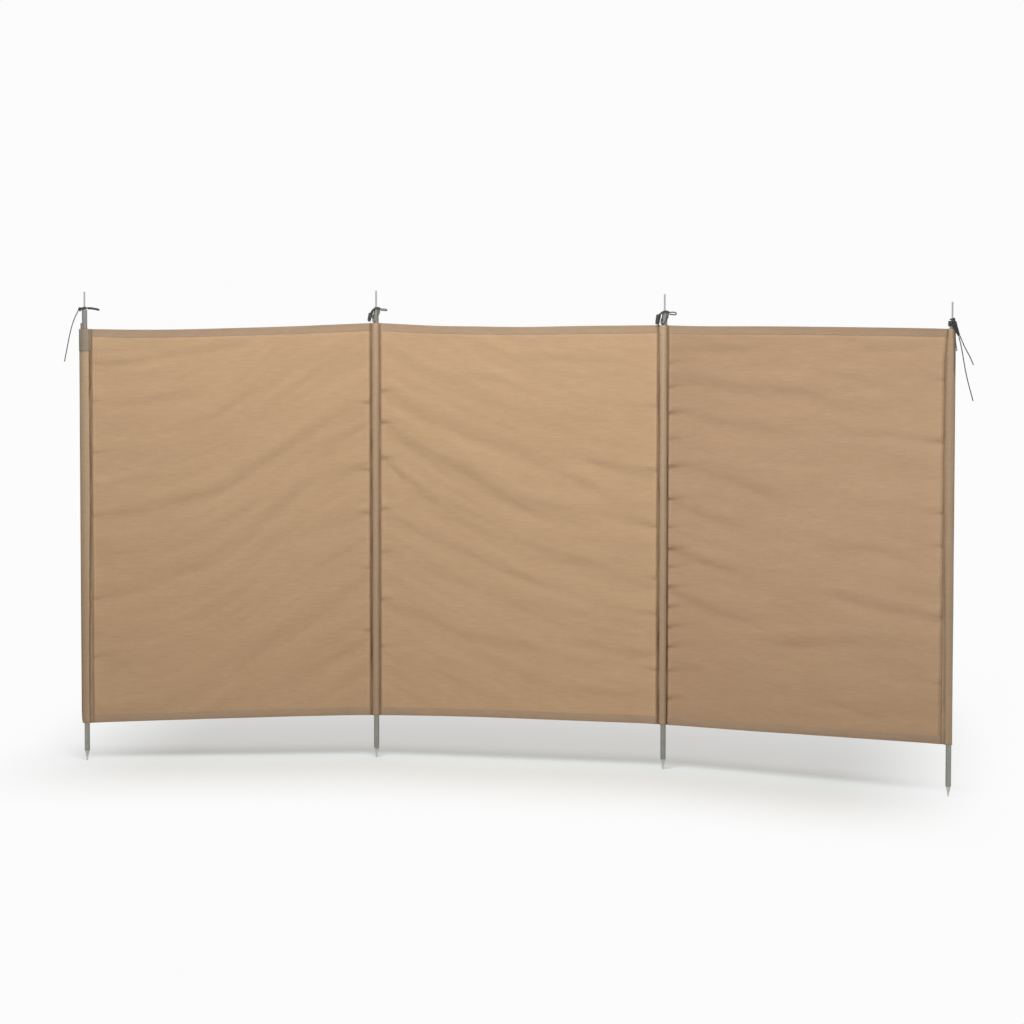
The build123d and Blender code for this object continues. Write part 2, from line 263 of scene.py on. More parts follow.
# Strands of a cord: one set winds right and, in a braid, another winds left, and each swings out and in
# as it passes over and under the others.
def makeStrandTree(name, hands, material):
    tree, given, evened = startTree(name, ["Strands"], ["Pitch", "Ring", "Swing", "Strand Radius", "Step"], "Step")
    length = addNode(tree, "GeometryNodeSplineParameter").outputs["Length"]
    tangent = addNode(tree, "GeometryNodeInputTangent").outputs[0]
    normal = addNode(tree, "GeometryNodeInputNormal").outputs[0]
    side = addNode(tree, "ShaderNodeVectorMath", {"operation": "CROSS_PRODUCT", 0: tangent, 1: normal}).outputs[0]
    pitches = addNode(tree, "ShaderNodeMath", {"operation": "DIVIDE", 0: length, 1: given["Pitch"]}).outputs[0]
    turned = addNode(tree, "ShaderNodeMath", {"operation": "MULTIPLY", 0: pitches, 1: 2 * math.pi}).outputs[0]
    beat = addNode(tree, "ShaderNodeMath", {"operation": "MULTIPLY", 0: turned, 1: given["Strands"]}).outputs[0]
    wave = addNode(tree, "ShaderNodeMath", {"operation": "COSINE", 0: beat}).outputs[0]
    swing = addNode(tree, "ShaderNodeMath", {"operation": "MULTIPLY", 0: wave, 1: given["Swing"]}).outputs[0]
    joined = addNode(tree, "GeometryNodeJoinGeometry")
    section = addNode(tree, "GeometryNodeCurvePrimitiveCircle",
                      {"Resolution": 5, "Radius": given["Strand Radius"]}).outputs[0]
    core = addNode(tree, "GeometryNodeCurvePrimitiveCircle", {"Resolution": 6, "Radius": given["Ring"]}).outputs[0]
    runs = []
    for hand in hands:
        copies = addNode(tree, "GeometryNodeDuplicateElements",
                         {"domain": "SPLINE", "Geometry": evened, "Amount": given["Strands"]})
        share = addNode(tree, "ShaderNodeMath", {"operation": "DIVIDE", 0: copies.outputs["Duplicate Index"],
                                                 1: given["Strands"]}).outputs[0]
        start = addNode(tree, "ShaderNodeMath", {"operation": "MULTIPLY", 0: share, 1: 2 * math.pi}).outputs[0]
        angle = addNode(tree, "ShaderNodeMath",
                        {"operation": "MULTIPLY_ADD", 0: turned, 1: hand, 2: start}).outputs[0]
        radius = addNode(tree, "ShaderNodeMath",
                         {"operation": "MULTIPLY_ADD", 0: swing, 1: hand, 2: given["Ring"]}).outputs[0]
        offset = (0.0, 0.0, 0.0)
        for operation, axis in (("COSINE", normal), ("SINE", side)):
            part = addNode(tree, "ShaderNodeMath", {"operation": operation, 0: angle}).outputs[0]
            reach = addNode(tree, "ShaderNodeMath", {"operation": "MULTIPLY", 0: radius, 1: part}).outputs[0]
            moved = addNode(tree, "ShaderNodeVectorMath", {"operation": "SCALE", 0: axis, "Scale": reach}).outputs[0]
            offset = addNode(tree, "ShaderNodeVectorMath", {"operation": "ADD", 0: offset, 1: moved}).outputs[0]
        runs.append((addNode(tree, "GeometryNodeSetPosition", {"Geometry": copies.outputs["Geometry"],
                                                               "Offset": offset}).outputs[0], section))
    for curve, profile in [*runs, (evened, core)]:
        strand = addNode(tree, "GeometryNodeCurveToMesh",
                         {"Curve": curve, "Profile Curve": profile, "Fill Caps": True}).outputs[0]
        tree.links.new(strand, joined.inputs[0])
    return endTree(tree, joined.outputs[0], "Cord", material)


def runTree(name, points, edges, tree, values):
    mesh = bpy.data.meshes.new(name)
    mesh.from_pydata(np.asarray(points).tolist(), edges, [])
    source = bpy.data.objects.new(name, mesh)
    bpy.context.collection.objects.link(source)
    modifier = source.modifiers.new(name, "NODES")
    modifier.node_group = tree
    sockets = {item.name: item.identifier for item in tree.interface.items_tree if item.in_out == "INPUT"}
    for socket, value in values.items():
        modifier[sockets[socket]] = value
    evaluated = source.evaluated_get(bpy.context.evaluated_depsgraph_get())
    result = bpy.data.meshes.new_from_object(evaluated)
    result.name = name
    source.modifiers.clear()
    source.data = result
    bpy.data.meshes.remove(mesh)
    return source


def lineEdges(count, closed=False, start=0):
    edges = [(start + i, start + i + 1) for i in range(count - 1)]
    return edges + [(start + count - 1, start)] if closed else edges


def lineLength(points, closed=False):
    points = np.asarray(points)
    total = np.linalg.norm(np.diff(points, axis=0), axis=1).sum()
    return total + (np.linalg.norm(points[0] - points[-1]) if closed else 0)


# The charcoal cord is 5 mm braid, four strands each way round a core; the tails are 3.2 mm
# three-strand twine. Strand widths are the real ones.
cordSizes = {"diameter": 5.0, "thin": 3.2, "gap": 0.3, "turnPitch": 4.6, "turn": 10.0}
braidValues = {"Strands": 4, "Pitch": 16.0 * mm, "Ring": 1.5 * mm, "Swing": 0.27 * mm,
               "Strand Radius": 0.73 * mm, "Step": 1.3 * mm}
twineValues = {"Strands": 3, "Pitch": 11.0 * mm, "Ring": 1.1 * mm, "Swing": 0.0, "Strand Radius": 1.0 * mm,
               "Step": 1.7 * mm}
braidTree = makeStrandTree("braidedCord", (1, -1), cordBraid)
blackTree = makeStrandTree("blackCord", (1, -1), cordBlack)
fadedTree = makeStrandTree("fadedCord", (1, -1), cordFaded)
headTrees = [braidTree, braidTree, braidTree, blackTree]
loopTrees = [braidTree, fadedTree, braidTree]
twineTree = makeStrandTree("twistedTwine", (1,), twineTwist)


def makeCordMesh(name, points, closed=False, tree=braidTree, values=braidValues):
    values = dict(values)
    long = lineLength(points, closed)
    if closed:
        values["Pitch"] = long / round(long / values["Pitch"])
    return runTree(name, points, lineEdges(len(points), closed), tree, values)


# Pole heads: X runs to the right, Y away from the front, Z up from the tube's end.
def headPoints(pole, points, facing=0.0):
    points = np.array(points, float) * mm
    right, back = direction(cordSizes["turn"] + facing), direction(cordSizes["turn"] + facing + 90)
    foot = poleFeet[pole] + np.array([0, 0, poleHeads[pole]])
    return foot + points[:, :1] * right + points[:, 1:2] * back + points[:, 2:3] * np.array([0, 0, 1.0])


# Each hitch goes once round the head: the height of its middle, its drop, the way its high side
# faces, and the radius it goes round. The last head has a coil of four turns instead.
hitches = [(5.6, 2.0, 0, 4.5), (-21.0, 46.0, 45, 9.5), (-19.0, 40.0, 45, 9.5)]
coil = {"middle": -8.0, "wraps": 4, "extra": 1.4, "held": 9.5, "packing": 0.94, "wobble": 0.8, "start": 0.4,
        "closesIn": 4.8, "closesUp": 3.6}
heldRadii = [held for *_, held in hitches] + [coil["held"]]
cordRadius = cordSizes["diameter"] / 2

for pole, (middle, drop, facing, held) in enumerate(hitches):
    halfWidth = held + cordSizes["gap"] + cordRadius
    turns = np.linspace(0, 2 * math.pi, 64, endpoint=False)
    wander = 0.35 * np.sin(3 * turns + pole)
    ring = np.stack([halfWidth * np.cos(turns), halfWidth * np.sin(turns),
                     middle + drop / 2 * np.cos(turns) + wander], axis=1)
    hitch = makeCordMesh(f"cordHitch{pole + 1}", headPoints(pole, ring, facing), closed=True, tree=loopTrees[pole])
    finishPiece(hitch, f"cord_hitch_{pole + 1}")

halfWidth = coil["held"] + cordSizes["gap"] + cordRadius
turns = np.linspace(0, 2 * math.pi * (coil["wraps"] + coil["extra"]), 60 * coil["wraps"])
wrap = turns / (2 * math.pi)
closing = smoothStep((wrap - coil["wraps"] + 0.5) / 0.8)  # the last turns close in above the flange
reach = halfWidth - coil["closesIn"] * closing + 0.3 * np.sin(2.3 * turns)
height = (coil["middle"] + (wrap - coil["wraps"] / 2) * cordSizes["turnPitch"] * coil["packing"]
          + coil["wobble"] * np.sin(turns) * (1 - closing) + coil["closesUp"] * closing)
coilLine = np.stack([reach * np.sin(turns + coil["start"]), -reach * np.cos(turns + coil["start"]), height], axis=1)
finishPiece(makeCordMesh("cordHitch4", headPoints(3, coilLine), tree=blackTree), "cord_hitch_4")

# Two parts of the cord lead side by side from each bight across the front of its head, on the flange,
# and down into the head of its knot. The last knot's are short and come from its coil. The second part
# of each lies a step away from the first.
knotLeads = [
    [(7.4, -1.8, 8.6), (3.4, -6.2, 9.8), (-2.5, -7.4, 9.8), (-8.0, -6.0, 8.0), (-12.4, -3.2, 4.6),
     (-15.0, -0.6, 0.4)],
    [(15.6, -3.2, 1.8), (11.5, -7.0, 5.0), (3.5, -8.6, 6.2), (-4.5, -9.4, 4.4), (-10.5, -8.6, -0.6),
     (-15.0, -5.6, -6.6), (-17.8, -2.0, -12.0), (-18.4, 0.0, -17.0)],
    [(15.8, -2.8, 2.2), (11.5, -7.0, 5.2), (3.5, -8.6, 6.4), (-4.5, -9.2, 5.4), (-10.8, -8.4, 2.2),
     (-15.6, -5.0, -2.0), (-19.4, -1.4, -6.6), (-20.4, 0.0, -12.0)],
    [(4.0, -12.5, -2.0), (6.0, -16.5, 1.0), (8.0, -20.0, 0.5), (10.0, -22.0, -4.0)],
]
leadSteps = [(-0.8, -2.6, -4.4), (-1.0, -3.6, -3.7), (-1.0, -3.6, -3.7), (-4.9, 0.6, 0.8)]
# A weathered part of the second head's cord fills the gap between its knot and its tube.
tuckRoute = [(-4.5, -9.6, 2.6), (-9.4, -8.4, -3.0), (-12.2, -4.8, -9.0), (-12.9, -2.2, -17.0), (-13.3, -1.4, -24.0),
             (-13.9, -0.8, -31.0)]

# Each knot: the side it is on, its lean, turns, the core at its head and foot, its foot's height.
knots = [((-1, 0), -35, 3, 3.2, 3.2, -1.4), ((-1, 0), -12, 7, 5.6, 4.6, -44.0),
         ((-1, 0), -9, 8, 7.0, 5.8, -41.6), ((0, -1), 24, 10, 8.6, 2.6, -47.0)]
knotShift = 10.0  # how far the last knot stands to the right of its pole's axis
singleCore = 4.5  # a knot's head with a core wider than this is filled by three strands
back = np.array([0, 1.0, 0])
knotFeet = []
for pole, ((toSide, toFront), lean, wraps, headCore, footCore, foot) in enumerate(knots):
    tilt = math.radians(lean)
    slant, core = (math.cos(tilt), footCore) if toSide else (1.0, headCore)
    reach = (heldRadii[pole] + cordSizes["gap"] + cordRadius
             + (cordSizes["diameter"] + cordSizes["gap"] + core) / slant)
    halfLong = wraps * cordSizes["turnPitch"] / 2
    centre = np.array([toSide * reach - toFront * knotShift, toFront * reach, foot + halfLong * math.cos(tilt)])
    axis = np.array([-math.sin(tilt), 0, math.cos(tilt)])
    across = np.array([math.cos(tilt), 0, math.sin(tilt)])
    knotFeet.append(centre - halfLong * axis)
    # The turns climb from the foot round the cord's own strands, wider towards the head.
    turns = np.linspace(0, 2 * math.pi * (wraps - 1), 30 * (wraps - 1))
    rise = turns / turns[-1]
    climb = (rise - 0.5) * (wraps - 1) * cordSizes["turnPitch"]
    girth = footCore + (headCore - footCore) * rise - 0.35 * (1 + np.sin(5.3 * turns + pole)) / 2
    coilLine = (centre + climb[:, None] * axis + (girth * np.cos(turns))[:, None] * across
                + (girth * np.sin(turns))[:, None] * back)
    tree = headTrees[pole]
    knot = makeCordMesh(f"cordKnot{pole + 1}", headPoints(pole, coilLine), tree=tree)
    fillings = []
    strandCount = 1 if headCore < singleCore else 3
    for number in range(strandCount):
        around = 2 * math.pi * (number / strandCount + 0.1)
        outward = (math.cos(around) * across + math.sin(around) * back) * (strandCount > 1)
        inner = [centre + (share - 0.5) * 2 * (halfLong - 0.4) * axis
                 + outward * (0.5 + (headCore - 3.2) * 0.8 * share) for share in np.linspace(0, 1, 12)]
        fillings.append(makeCordMesh(f"knotCore{pole + 1}{number}", headPoints(pole, inner), tree=tree))
    for number, step in enumerate([(0, 0, 0), leadSteps[pole]]):
        lead = smoothLine(np.array(knotLeads[pole]) + step, 8)
        fillings.append(makeCordMesh(f"knotLead{pole + 1}{number}", headPoints(pole, lead), tree=tree))
    if pole == 1:
        fillings.append(makeCordMesh("knotTuck", headPoints(pole, smoothLine(tuckRoute, 8)), tree=fadedTree))
    with bpy.context.temp_override(active_object=knot, selected_editable_objects=[knot] + fillings):
        bpy.ops.object.join()
    finishPiece(knot, f"cord_knot_{pole + 1}")


# A free cord follows one smooth spline through its route.
def routeLine(name, points):
    data = bpy.data.curves.new(name, "CURVE")
    data.dimensions = "3D"
    data.resolution_u = 16
    spline = data.splines.new("NURBS")
    spline.points.add(len(points) - 1)
    for point, place in zip(spline.points, points):
        point.co = (*place, 1)
    spline.order_u = 3
    spline.use_endpoint_u = True
    holder = bpy.data.objects.new(name, data)
    bpy.context.collection.objects.link(holder)
    mesh = bpy.data.meshes.new_from_object(holder)
    line = np.array([vertex.co[:] for vertex in mesh.vertices])
    bpy.data.objects.remove(holder)
    bpy.data.meshes.remove(mesh)
    return line


# Bights stand out to the right of the first three hitches, each measured from its hitch's side.
bightRoutes = {
    "cord_bight_1": (0, [(0.4, -2.2, 8.3), (11.2, -3.0, 8.6), (22.2, -4.0, 7.4), (33.2, -5.0, 5.4),
                         (42.2, -5.2, 3.0), (41.2, 4.8, -1.4), (32.2, 4.4, 1.0), (21.7, 3.4, 3.2),
                         (11.2, 2.8, 4.2), (0.7, 2.2, 4.6)]),
    "cord_bight_2": (1, [(1.2, -2.2, 0.7), (7.8, -2.9, 1.3), (14.9, -3.4, 1.1), (23.6, -3.6, -0.1),
                         (23.6, 3.8, -5.9), (14.9, 3.5, -4.5), (7.8, 3.0, -4.0), (1.8, 2.4, -4.2)]),
    "cord_bight_3": (2, [(1.2, -1.6, 1.4), (8.2, -1.8, 2.6), (15.9, -1.9, 2.4), (24.9, -2.0, 1.0),
                         (24.4, 2.0, -7.6), (15.4, 1.9, -6.4), (8.2, 1.8, -5.4), (1.9, 1.6, -5.2)]),
}
for name, (pole, route) in bightRoutes.items():
    side = heldRadii[pole] + cordSizes["gap"] + cordSizes["diameter"]
    line = routeLine(name + "Route", headPoints(pole, np.array(route) + [side, 0, 0]))
    bight = makeCordMesh(f"cordBight{pole + 1}", line, tree=loopTrees[pole])
    finishPiece(bight, name)

# Thin tails hang from the first and the last knot, each measured from its knot's foot.
tailRoutes = {
    "cord_tail_1": (0, [(-0.4, 0, -0.6), (-11.4, -1.0, -22.1), (-21.9, -2.0, -50.1), (-30.4, -2.5, -83.1),
                        (-37.4, -2.0, -117.1), (-43.9, -1.0, -150.1), (-50.4, 0, -180.1)]),
    "cord_tail_4a": (3, [(2.6, 0, 0.3), (10.6, -1.1, -19.3), (21.9, -1.9, -44.3),
                         (36.4, -1.4, -68.3), (47.9, 0.1, -96.3)]),
    "cord_tail_4b": (3, [(-1.4, 0, -1.4), (5.4, -2.9, -28.3), (11.4, -4.9, -60.3), (17.4, -5.9, -97.3),
                         (25.4, -5.9, -136.3), (35.9, -4.9, -176.3), (47.4, -2.9, -216.3)]),
    "cord_tail_4c": (3, [(-13.2, -1.0, 9.0), (-13.0, -1.4, -9.5), (-10.8, -1.4, -29.0), (-7.6, -0.8, -50.0)]),
}
for name, (pole, route) in tailRoutes.items():
    line = routeLine(name + "Route", headPoints(pole, np.array(route) + knotFeet[pole]))
    tail = makeCordMesh(name.replace("cord_tail_", "cordTail"), line, tree=twineTree, values=twineValues)
    finishPiece(tail, name)
print("cords, hitches and knots made")


# Woven polycotton, tan: matt, with flat horizontal slubs in the weft and a faint warp across them.
# Real threads are 0.4 mm apart; the weave is drawn at 2 mm, and the slubs at 3 mm, so they show.
def makeClothMaterial(name, base, lighter, darker, sheen=0.05):
    material, tree = newMaterial(name)
    place = addNode(tree, "ShaderNodeUVMap", {"uv_map": "clothMap"}).outputs[0]
    patterns = {}
    for pattern, scale, detail in (("slubs", (16.0, 300.0, 1.0), 2.0),  # 60 mm long, 3 mm high
                                   ("crinkles", (24.0, 85.0, 1.0), 3.0),  # soft creases 40 mm long, 12 mm high
                                   ("warps", (260.0, 14.0, 1.0), 2.0), ("clouds", (5.0, 9.0, 1.0), 3.0)):
        moved = addNode(tree, "ShaderNodeMapping", {"Vector": place, "Scale": scale}).outputs[0]
        patterns[pattern] = addNode(tree, "ShaderNodeTexNoise", {
            "Vector": moved, "Scale": 1.0, "Detail": detail, "Roughness": 0.55}).outputs["Fac"]
    threads = [addNode(tree, "ShaderNodeTexWave", {
        "Vector": place, "bands_direction": bands, "Scale": 79.0, "Distortion": 1.5,
        "Detail Scale": 0.3}).outputs["Fac"] for bands in ("Y", "X")]
    patterns["weave"] = addNode(tree, "ShaderNodeMath", {"operation": "MULTIPLY", 0: threads[0],
                                                         1: threads[1]}).outputs[0]
    colour = linear(base)
    # The crinkles are painted darker in their hollows: painted shade.
    for pattern, span, shares, tint in (("clouds", (0.3, 0.7), (0.0, 0.5), lighter),
                                        ("slubs", (0.35, 0.65), (0.0, 0.28), darker),
                                        ("warps", (0.35, 0.65), (0.0, 0.12), lighter),
                                        ("weave", (0.0, 1.0), (0.08, 0.0), darker),
                                        ("crinkles", (0.3, 0.7), (0.25, 0.0), darker)):
        share = addNode(tree, "ShaderNodeMapRange", {
            "Value": patterns[pattern], "From Min": span[0], "From Max": span[1], "To Min": shares[0],
            "To Max": shares[1]}).outputs["Result"]
        colour = addNode(tree, "ShaderNodeMix",
                         {"data_type": "RGBA", 0: share, 6: colour, 7: linear(tint)}).outputs[2]
    # The shade attribute mixes the cloth towards a deep brown: painted shade in the folds, seams and lower parts,
    # and painted highlights where it is negative; it also darkens the hems.
    paintedShade = addNode(tree, "ShaderNodeAttribute", {"attribute_name": "shade"}).outputs["Fac"]
    colour = addNode(tree, "ShaderNodeMix", {"data_type": "RGBA", "clamp_factor": False, 0: paintedShade, 6: colour,
                                             7: linear("#5e3f24")}).outputs[2]
    height = patterns["slubs"]
    for pattern, gain in (("weave", 0.35), ("crinkles", 1.6)):
        height = addNode(tree, "ShaderNodeMath", {"operation": "MULTIPLY_ADD", 0: patterns[pattern], 1: gain,
                                                  2: height}).outputs[0]
    relief = addNode(tree, "ShaderNodeBump", {"Height": height, "Strength": 0.8, "Distance": 0.5 * mm})
    roughness = addNode(tree, "ShaderNodeMapRange", {"Value": patterns["slubs"], "From Min": 0.3, "From Max": 0.7,
                                                     "To Min": 0.82, "To Max": 0.92})
    finishMaterial(tree, {"Base Color": colour, "Roughness": roughness.outputs["Result"],
                          "Normal": relief.outputs["Normal"], "IOR": 1.5, "Sheen Weight": sheen,
                          "Sheen Roughness": 0.5, "Specular IOR Level": 0.3})
    return material


bayCloth = makeClothMaterial("wovenPolycottonTan", "#c2a07d", "#cba987", "#b18f6e")
endCloth = makeClothMaterial("wovenPolycottonRosyTan", "#c2a07f", "#cba989", "#b18f70")
hemCloth = makeClothMaterial("foldedPolycottonTan", "#b2977d", "#bca187", "#a2876d")
sleeveCloth = makeClothMaterial("sleevePolycottonTan", "#bba083", "#c5ab8f", "#a88e71")
# Worn cotton webbing, grey-brown: flatter and greyer than the cloth beside it.
patchCloth = makeClothMaterial("wornCottonGreyBrown", "#9a8b7a", "#a79886", "#877867", 0.1)

# Spun polyester thread, tan: a small bright bead at each stitch.
threadTan = makeFinish("spunPolyesterThreadTan", 800.0, 800.0, 2.0, ("#a58c70", "#c8b195"),
                       {"IOR": 1.55, "Roughness": 0.7, "Sheen Weight": 0.2})

# The cloth, in mm: how far each sleeve reaches before and after its pole, how far inside that edge the
# cloth ends, how far from a seam it billows most, where the hem ends and the width of the felled seams.
cloth = {"height": 1400.0, "before": (19.0, 22.0, 24.0, 25.0), "after": (24.0, 16.0, 16.0, 10.4),
         "thickness": 0.6, "columns": 158, "rows": 184, "inset": 0.8, "billow": 12.0, "underHem": 32.0, "fell": 9.0}
# A crease is its depth and half-width in mm, how sharp its lower flank is, and its line across the
# bay as shares of the width from the left and of the height from the top.
bayCreases = [
    [(1.5, 17, 0.8, [(0.03, 0.475), (0.13, 0.465), (0.25, 0.445), (0.40, 0.425), (0.48, 0.40), (0.60, 0.345),
                     (0.75, 0.28), (0.97, 0.205)]),
     (1.3, 18, 0.8, [(0.02, 0.685), (0.15, 0.655), (0.28, 0.625), (0.40, 0.59), (0.55, 0.555), (0.65, 0.45),
                     (0.80, 0.40), (0.97, 0.36)]),
     (0.9, 16, 0.9, [(0.55, 0.558), (0.70, 0.53), (0.85, 0.50), (1.0, 0.48)]),
     (1.3, 20, 0.8, [(0.30, 0.92), (0.40, 0.875), (0.52, 0.84), (0.65, 0.785), (0.80, 0.74), (0.92, 0.70)]),
     (0.9, 12, 0.7, [(0.03, 0.085), (0.25, 0.075), (0.40, 0.05), (0.65, 0.035)]),
     (0.8, 13, 0.9, [(0.05, 0.18), (0.2, 0.175), (0.45, 0.165)]),
     (0.9, 11, 0.8, [(0.03, 0.395), (0.18, 0.37), (0.24, 0.37)]),
     (0.6, 8, 0.8, [(0.80, 0.965), (0.84, 0.96), (0.88, 0.955)])],
    [(1.4, 17, 0.7, [(0.02, 0.18), (0.15, 0.235), (0.30, 0.265), (0.45, 0.305), (0.55, 0.33), (0.68, 0.37),
                     (0.80, 0.425), (0.93, 0.47)]),
     (1.9, 22, 0.8, [(0.02, 0.25), (0.15, 0.315), (0.30, 0.365), (0.45, 0.425), (0.6, 0.475), (0.75, 0.49),
                     (0.85, 0.48)]),
     (1.1, 13, 0.8, [(0.03, 0.35), (0.10, 0.40), (0.17, 0.435), (0.25, 0.465)]),
     (1.3, 18, 0.8, [(0.02, 0.485), (0.17, 0.53), (0.30, 0.58), (0.45, 0.62), (0.60, 0.655), (0.75, 0.68),
                     (0.95, 0.71)]),
     (1.0, 14, 0.8, [(0.62, 0.585), (0.80, 0.605), (0.97, 0.65)]),
     (1.2, 18, 0.8, [(0.0, 0.70), (0.12, 0.725), (0.22, 0.76), (0.35, 0.795), (0.55, 0.81), (0.75, 0.84),
                     (0.95, 0.855)]),
     (0.9, 15, 0.9, [(0.45, 0.69), (0.60, 0.715), (0.8, 0.74)]),
     (0.8, 12, 0.8, [(0.45, 0.078), (0.65, 0.072), (0.88, 0.082)]),
     (0.7, 13, 0.9, [(0.2, 0.125), (0.35, 0.128), (0.5, 0.135)]),
     (0.9, 13, 0.8, [(0.70, 0.325), (0.86, 0.36), (1.0, 0.375)]),
     (1.0, 14, 0.8, [(0.70, 0.44), (0.86, 0.475), (1.0, 0.50)]),
     (1.0, 14, 0.8, [(0.68, 0.795), (0.85, 0.82), (1.0, 0.825)]),
     (0.8, 12, 0.8, [(0.72, 0.925), (0.88, 0.93), (1.0, 0.92)])],
    [(0.8, 11, 0.8, [(0.0, 0.06), (0.25, 0.055), (0.38, 0.05)]),
     (0.8, 11, 0.8, [(0.65, 0.05), (0.8, 0.048), (0.95, 0.045)]),
     (1.2, 15, 0.8, [(0.02, 0.13), (0.2, 0.135), (0.35, 0.15), (0.5, 0.165), (0.6, 0.18), (0.7, 0.205)]),
     (0.9, 13, 0.8, [(0.68, 0.12), (0.8, 0.155), (0.95, 0.175)]),
     (1.2, 15, 0.8, [(0.0, 0.215), (0.15, 0.225), (0.3, 0.24), (0.5, 0.27)]),
     (0.9, 13, 0.8, [(0.75, 0.25), (0.86, 0.257), (0.97, 0.265)]),
     (1.3, 16, 0.8, [(0.0, 0.35), (0.1, 0.35), (0.2, 0.37), (0.35, 0.395), (0.45, 0.44)]),
     (1.2, 14, 0.8, [(0.0, 0.43), (0.12, 0.46), (0.25, 0.49), (0.3, 0.50)]),
     (1.8, 16, 0.65, [(0.0, 0.555), (0.1, 0.575), (0.2, 0.60), (0.3, 0.605)]),
     (1.0, 14, 0.8, [(0.5, 0.53), (0.75, 0.535), (0.95, 0.56)]),
     (1.7, 15, 0.65, [(0.58, 0.655), (0.7, 0.665), (0.8, 0.68), (0.97, 0.70)]),
     (1.4, 16, 0.8, [(0.0, 0.655), (0.15, 0.70), (0.25, 0.72), (0.42, 0.72)]),
     (1.2, 18, 0.9, [(0.35, 0.78), (0.6, 0.755), (0.95, 0.755)]),
     (1.3, 20, 0.8, [(0.3, 0.885), (0.5, 0.905), (0.65, 0.925), (0.9, 0.925)]),
     (0.5, 9, 0.9, [(0.875, 0.41), (0.873, 0.46), (0.876, 0.53)]),
     (0.4, 8, 0.9, [(0.905, 0.42), (0.907, 0.46), (0.905, 0.50)])],
]
# How much deeper and wider the creases of each bay are drawn than their figures above.
creaseGain = [(1.7, 1.7), (2.2, 1.6), (2.0, 1.7)]
# How far each sleeve reaches to its seams, as shares of its full reach at each share of its height
# from the bottom, before and after the pole.
straight = [(0, 1), (1, 1)]
sleeveReach = [([(0, 0.80), (0.008, 0.92), (0.03, 1.0), (0.5, 1.02), (1, 1.0)], straight),
               ([(0, 0.95), (0.03, 1), (1, 1)], straight),
               ([(0, 0.95), (0.03, 1), (1, 1)], straight),
               ([(0, 1), (0.857, 1.0), (0.935, 0.9), (1, 0.56)], straight)]


def seamReach(pole, side, heightShare):
    return cloth[("before", "after")[side]][pole] * np.interp(heightShare, *np.array(sleeveReach[pole][side]).T)


# How the edges sag between the poles, in mm at each share of the width, and the line the fine
# ripples of each bay run along, in shares of the width and height.
topSags = [[(0, 0), (0.14, -5), (0.3, -8), (0.5, -7.5), (0.7, -6), (0.86, -3), (1, 0)],
           [(0, 0), (0.2, -8), (0.36, -9.5), (0.52, -10), (0.72, -5), (0.9, -2), (1, 0)],
           [(0, 0), (0.13, -1.5), (0.4, 1), (0.73, 1.5), (0.9, 1), (1, 0)]]
bottomSags = [[(0, 0), (0.3, 1.5), (0.5, 2), (0.8, 2), (1, 0)],
              [(0, 0), (0.2, 3), (0.4, 4), (0.7, 2), (1, 0)],
              [(0, 0), (0.3, -2), (0.5, -1), (1, 0)]]
rippleLines = [[(0, 0.34), (0.25, 0.32), (0.5, 0.24), (0.75, 0.1), (1, 0)],
               [(0, 0), (0.15, 0.06), (0.35, 0.13), (0.6, 0.2), (0.8, 0.23), (1, 0.25)],
               [(0, 0), (0.15, 0.03), (0.35, 0.06), (0.6, 0.07), (1, 0.09)]]
# Puckers at the seams of each bay, left and right: share of the height from the top, strength in mm.
seamPuckers = {
    (0, 0): [(0.18, 0.6), (0.31, 0.7), (0.47, 0.8), (0.68, 0.8), (0.83, 0.6)],
    (0, 1): [(0.2, 0.9), (0.37, 0.9), (0.48, 0.8), (0.62, 0.7), (0.78, 0.8)],
    (1, 0): [(0.17, 1.0), (0.25, 1.3), (0.34, 1.1), (0.47, 1.0), (0.58, 0.8), (0.70, 1.0), (0.82, 0.8)],
    (1, 1): [(0.2, 0.7), (0.36, 0.8), (0.5, 0.9), (0.63, 0.9), (0.72, 0.8), (0.86, 0.9)],
    (2, 0): [(0.215, 1.6), (0.28, 0.8), (0.35, 1.5), (0.43, 1.6), (0.50, 0.9), (0.555, 1.8), (0.60, 1.0),
             (0.65, 1.5), (0.70, 1.4), (0.75, 1.5), (0.80, 1.4), (0.86, 0.9), (0.93, 1.4), (0.15, 1.0),
             (0.09, 0.8)],
    (2, 1): [(0.12, 0.8), (0.27, 0.9), (0.44, 1.0), (0.52, 0.9), (0.69, 0.9), (0.85, 0.7)],
}
# How far the cloth billows forward beside each seam, in mm, left and right of each bay.
billows = [(3.0, 3.5), (2.5, 3.5), (5.0, 2.5)]
# The long soft folds of every bay: size, length and height in mm, and seed.
bayFolds = ((2.8, 420, 95, 11), (1.9, 230, 46, 21), (0.95, 105, 24, 31), (0.3, 42, 13, 35))


def sagOf(points, share):
    line = smoothLine(points, 4)
    return np.interp(share, line[:, 0], line[:, 1])


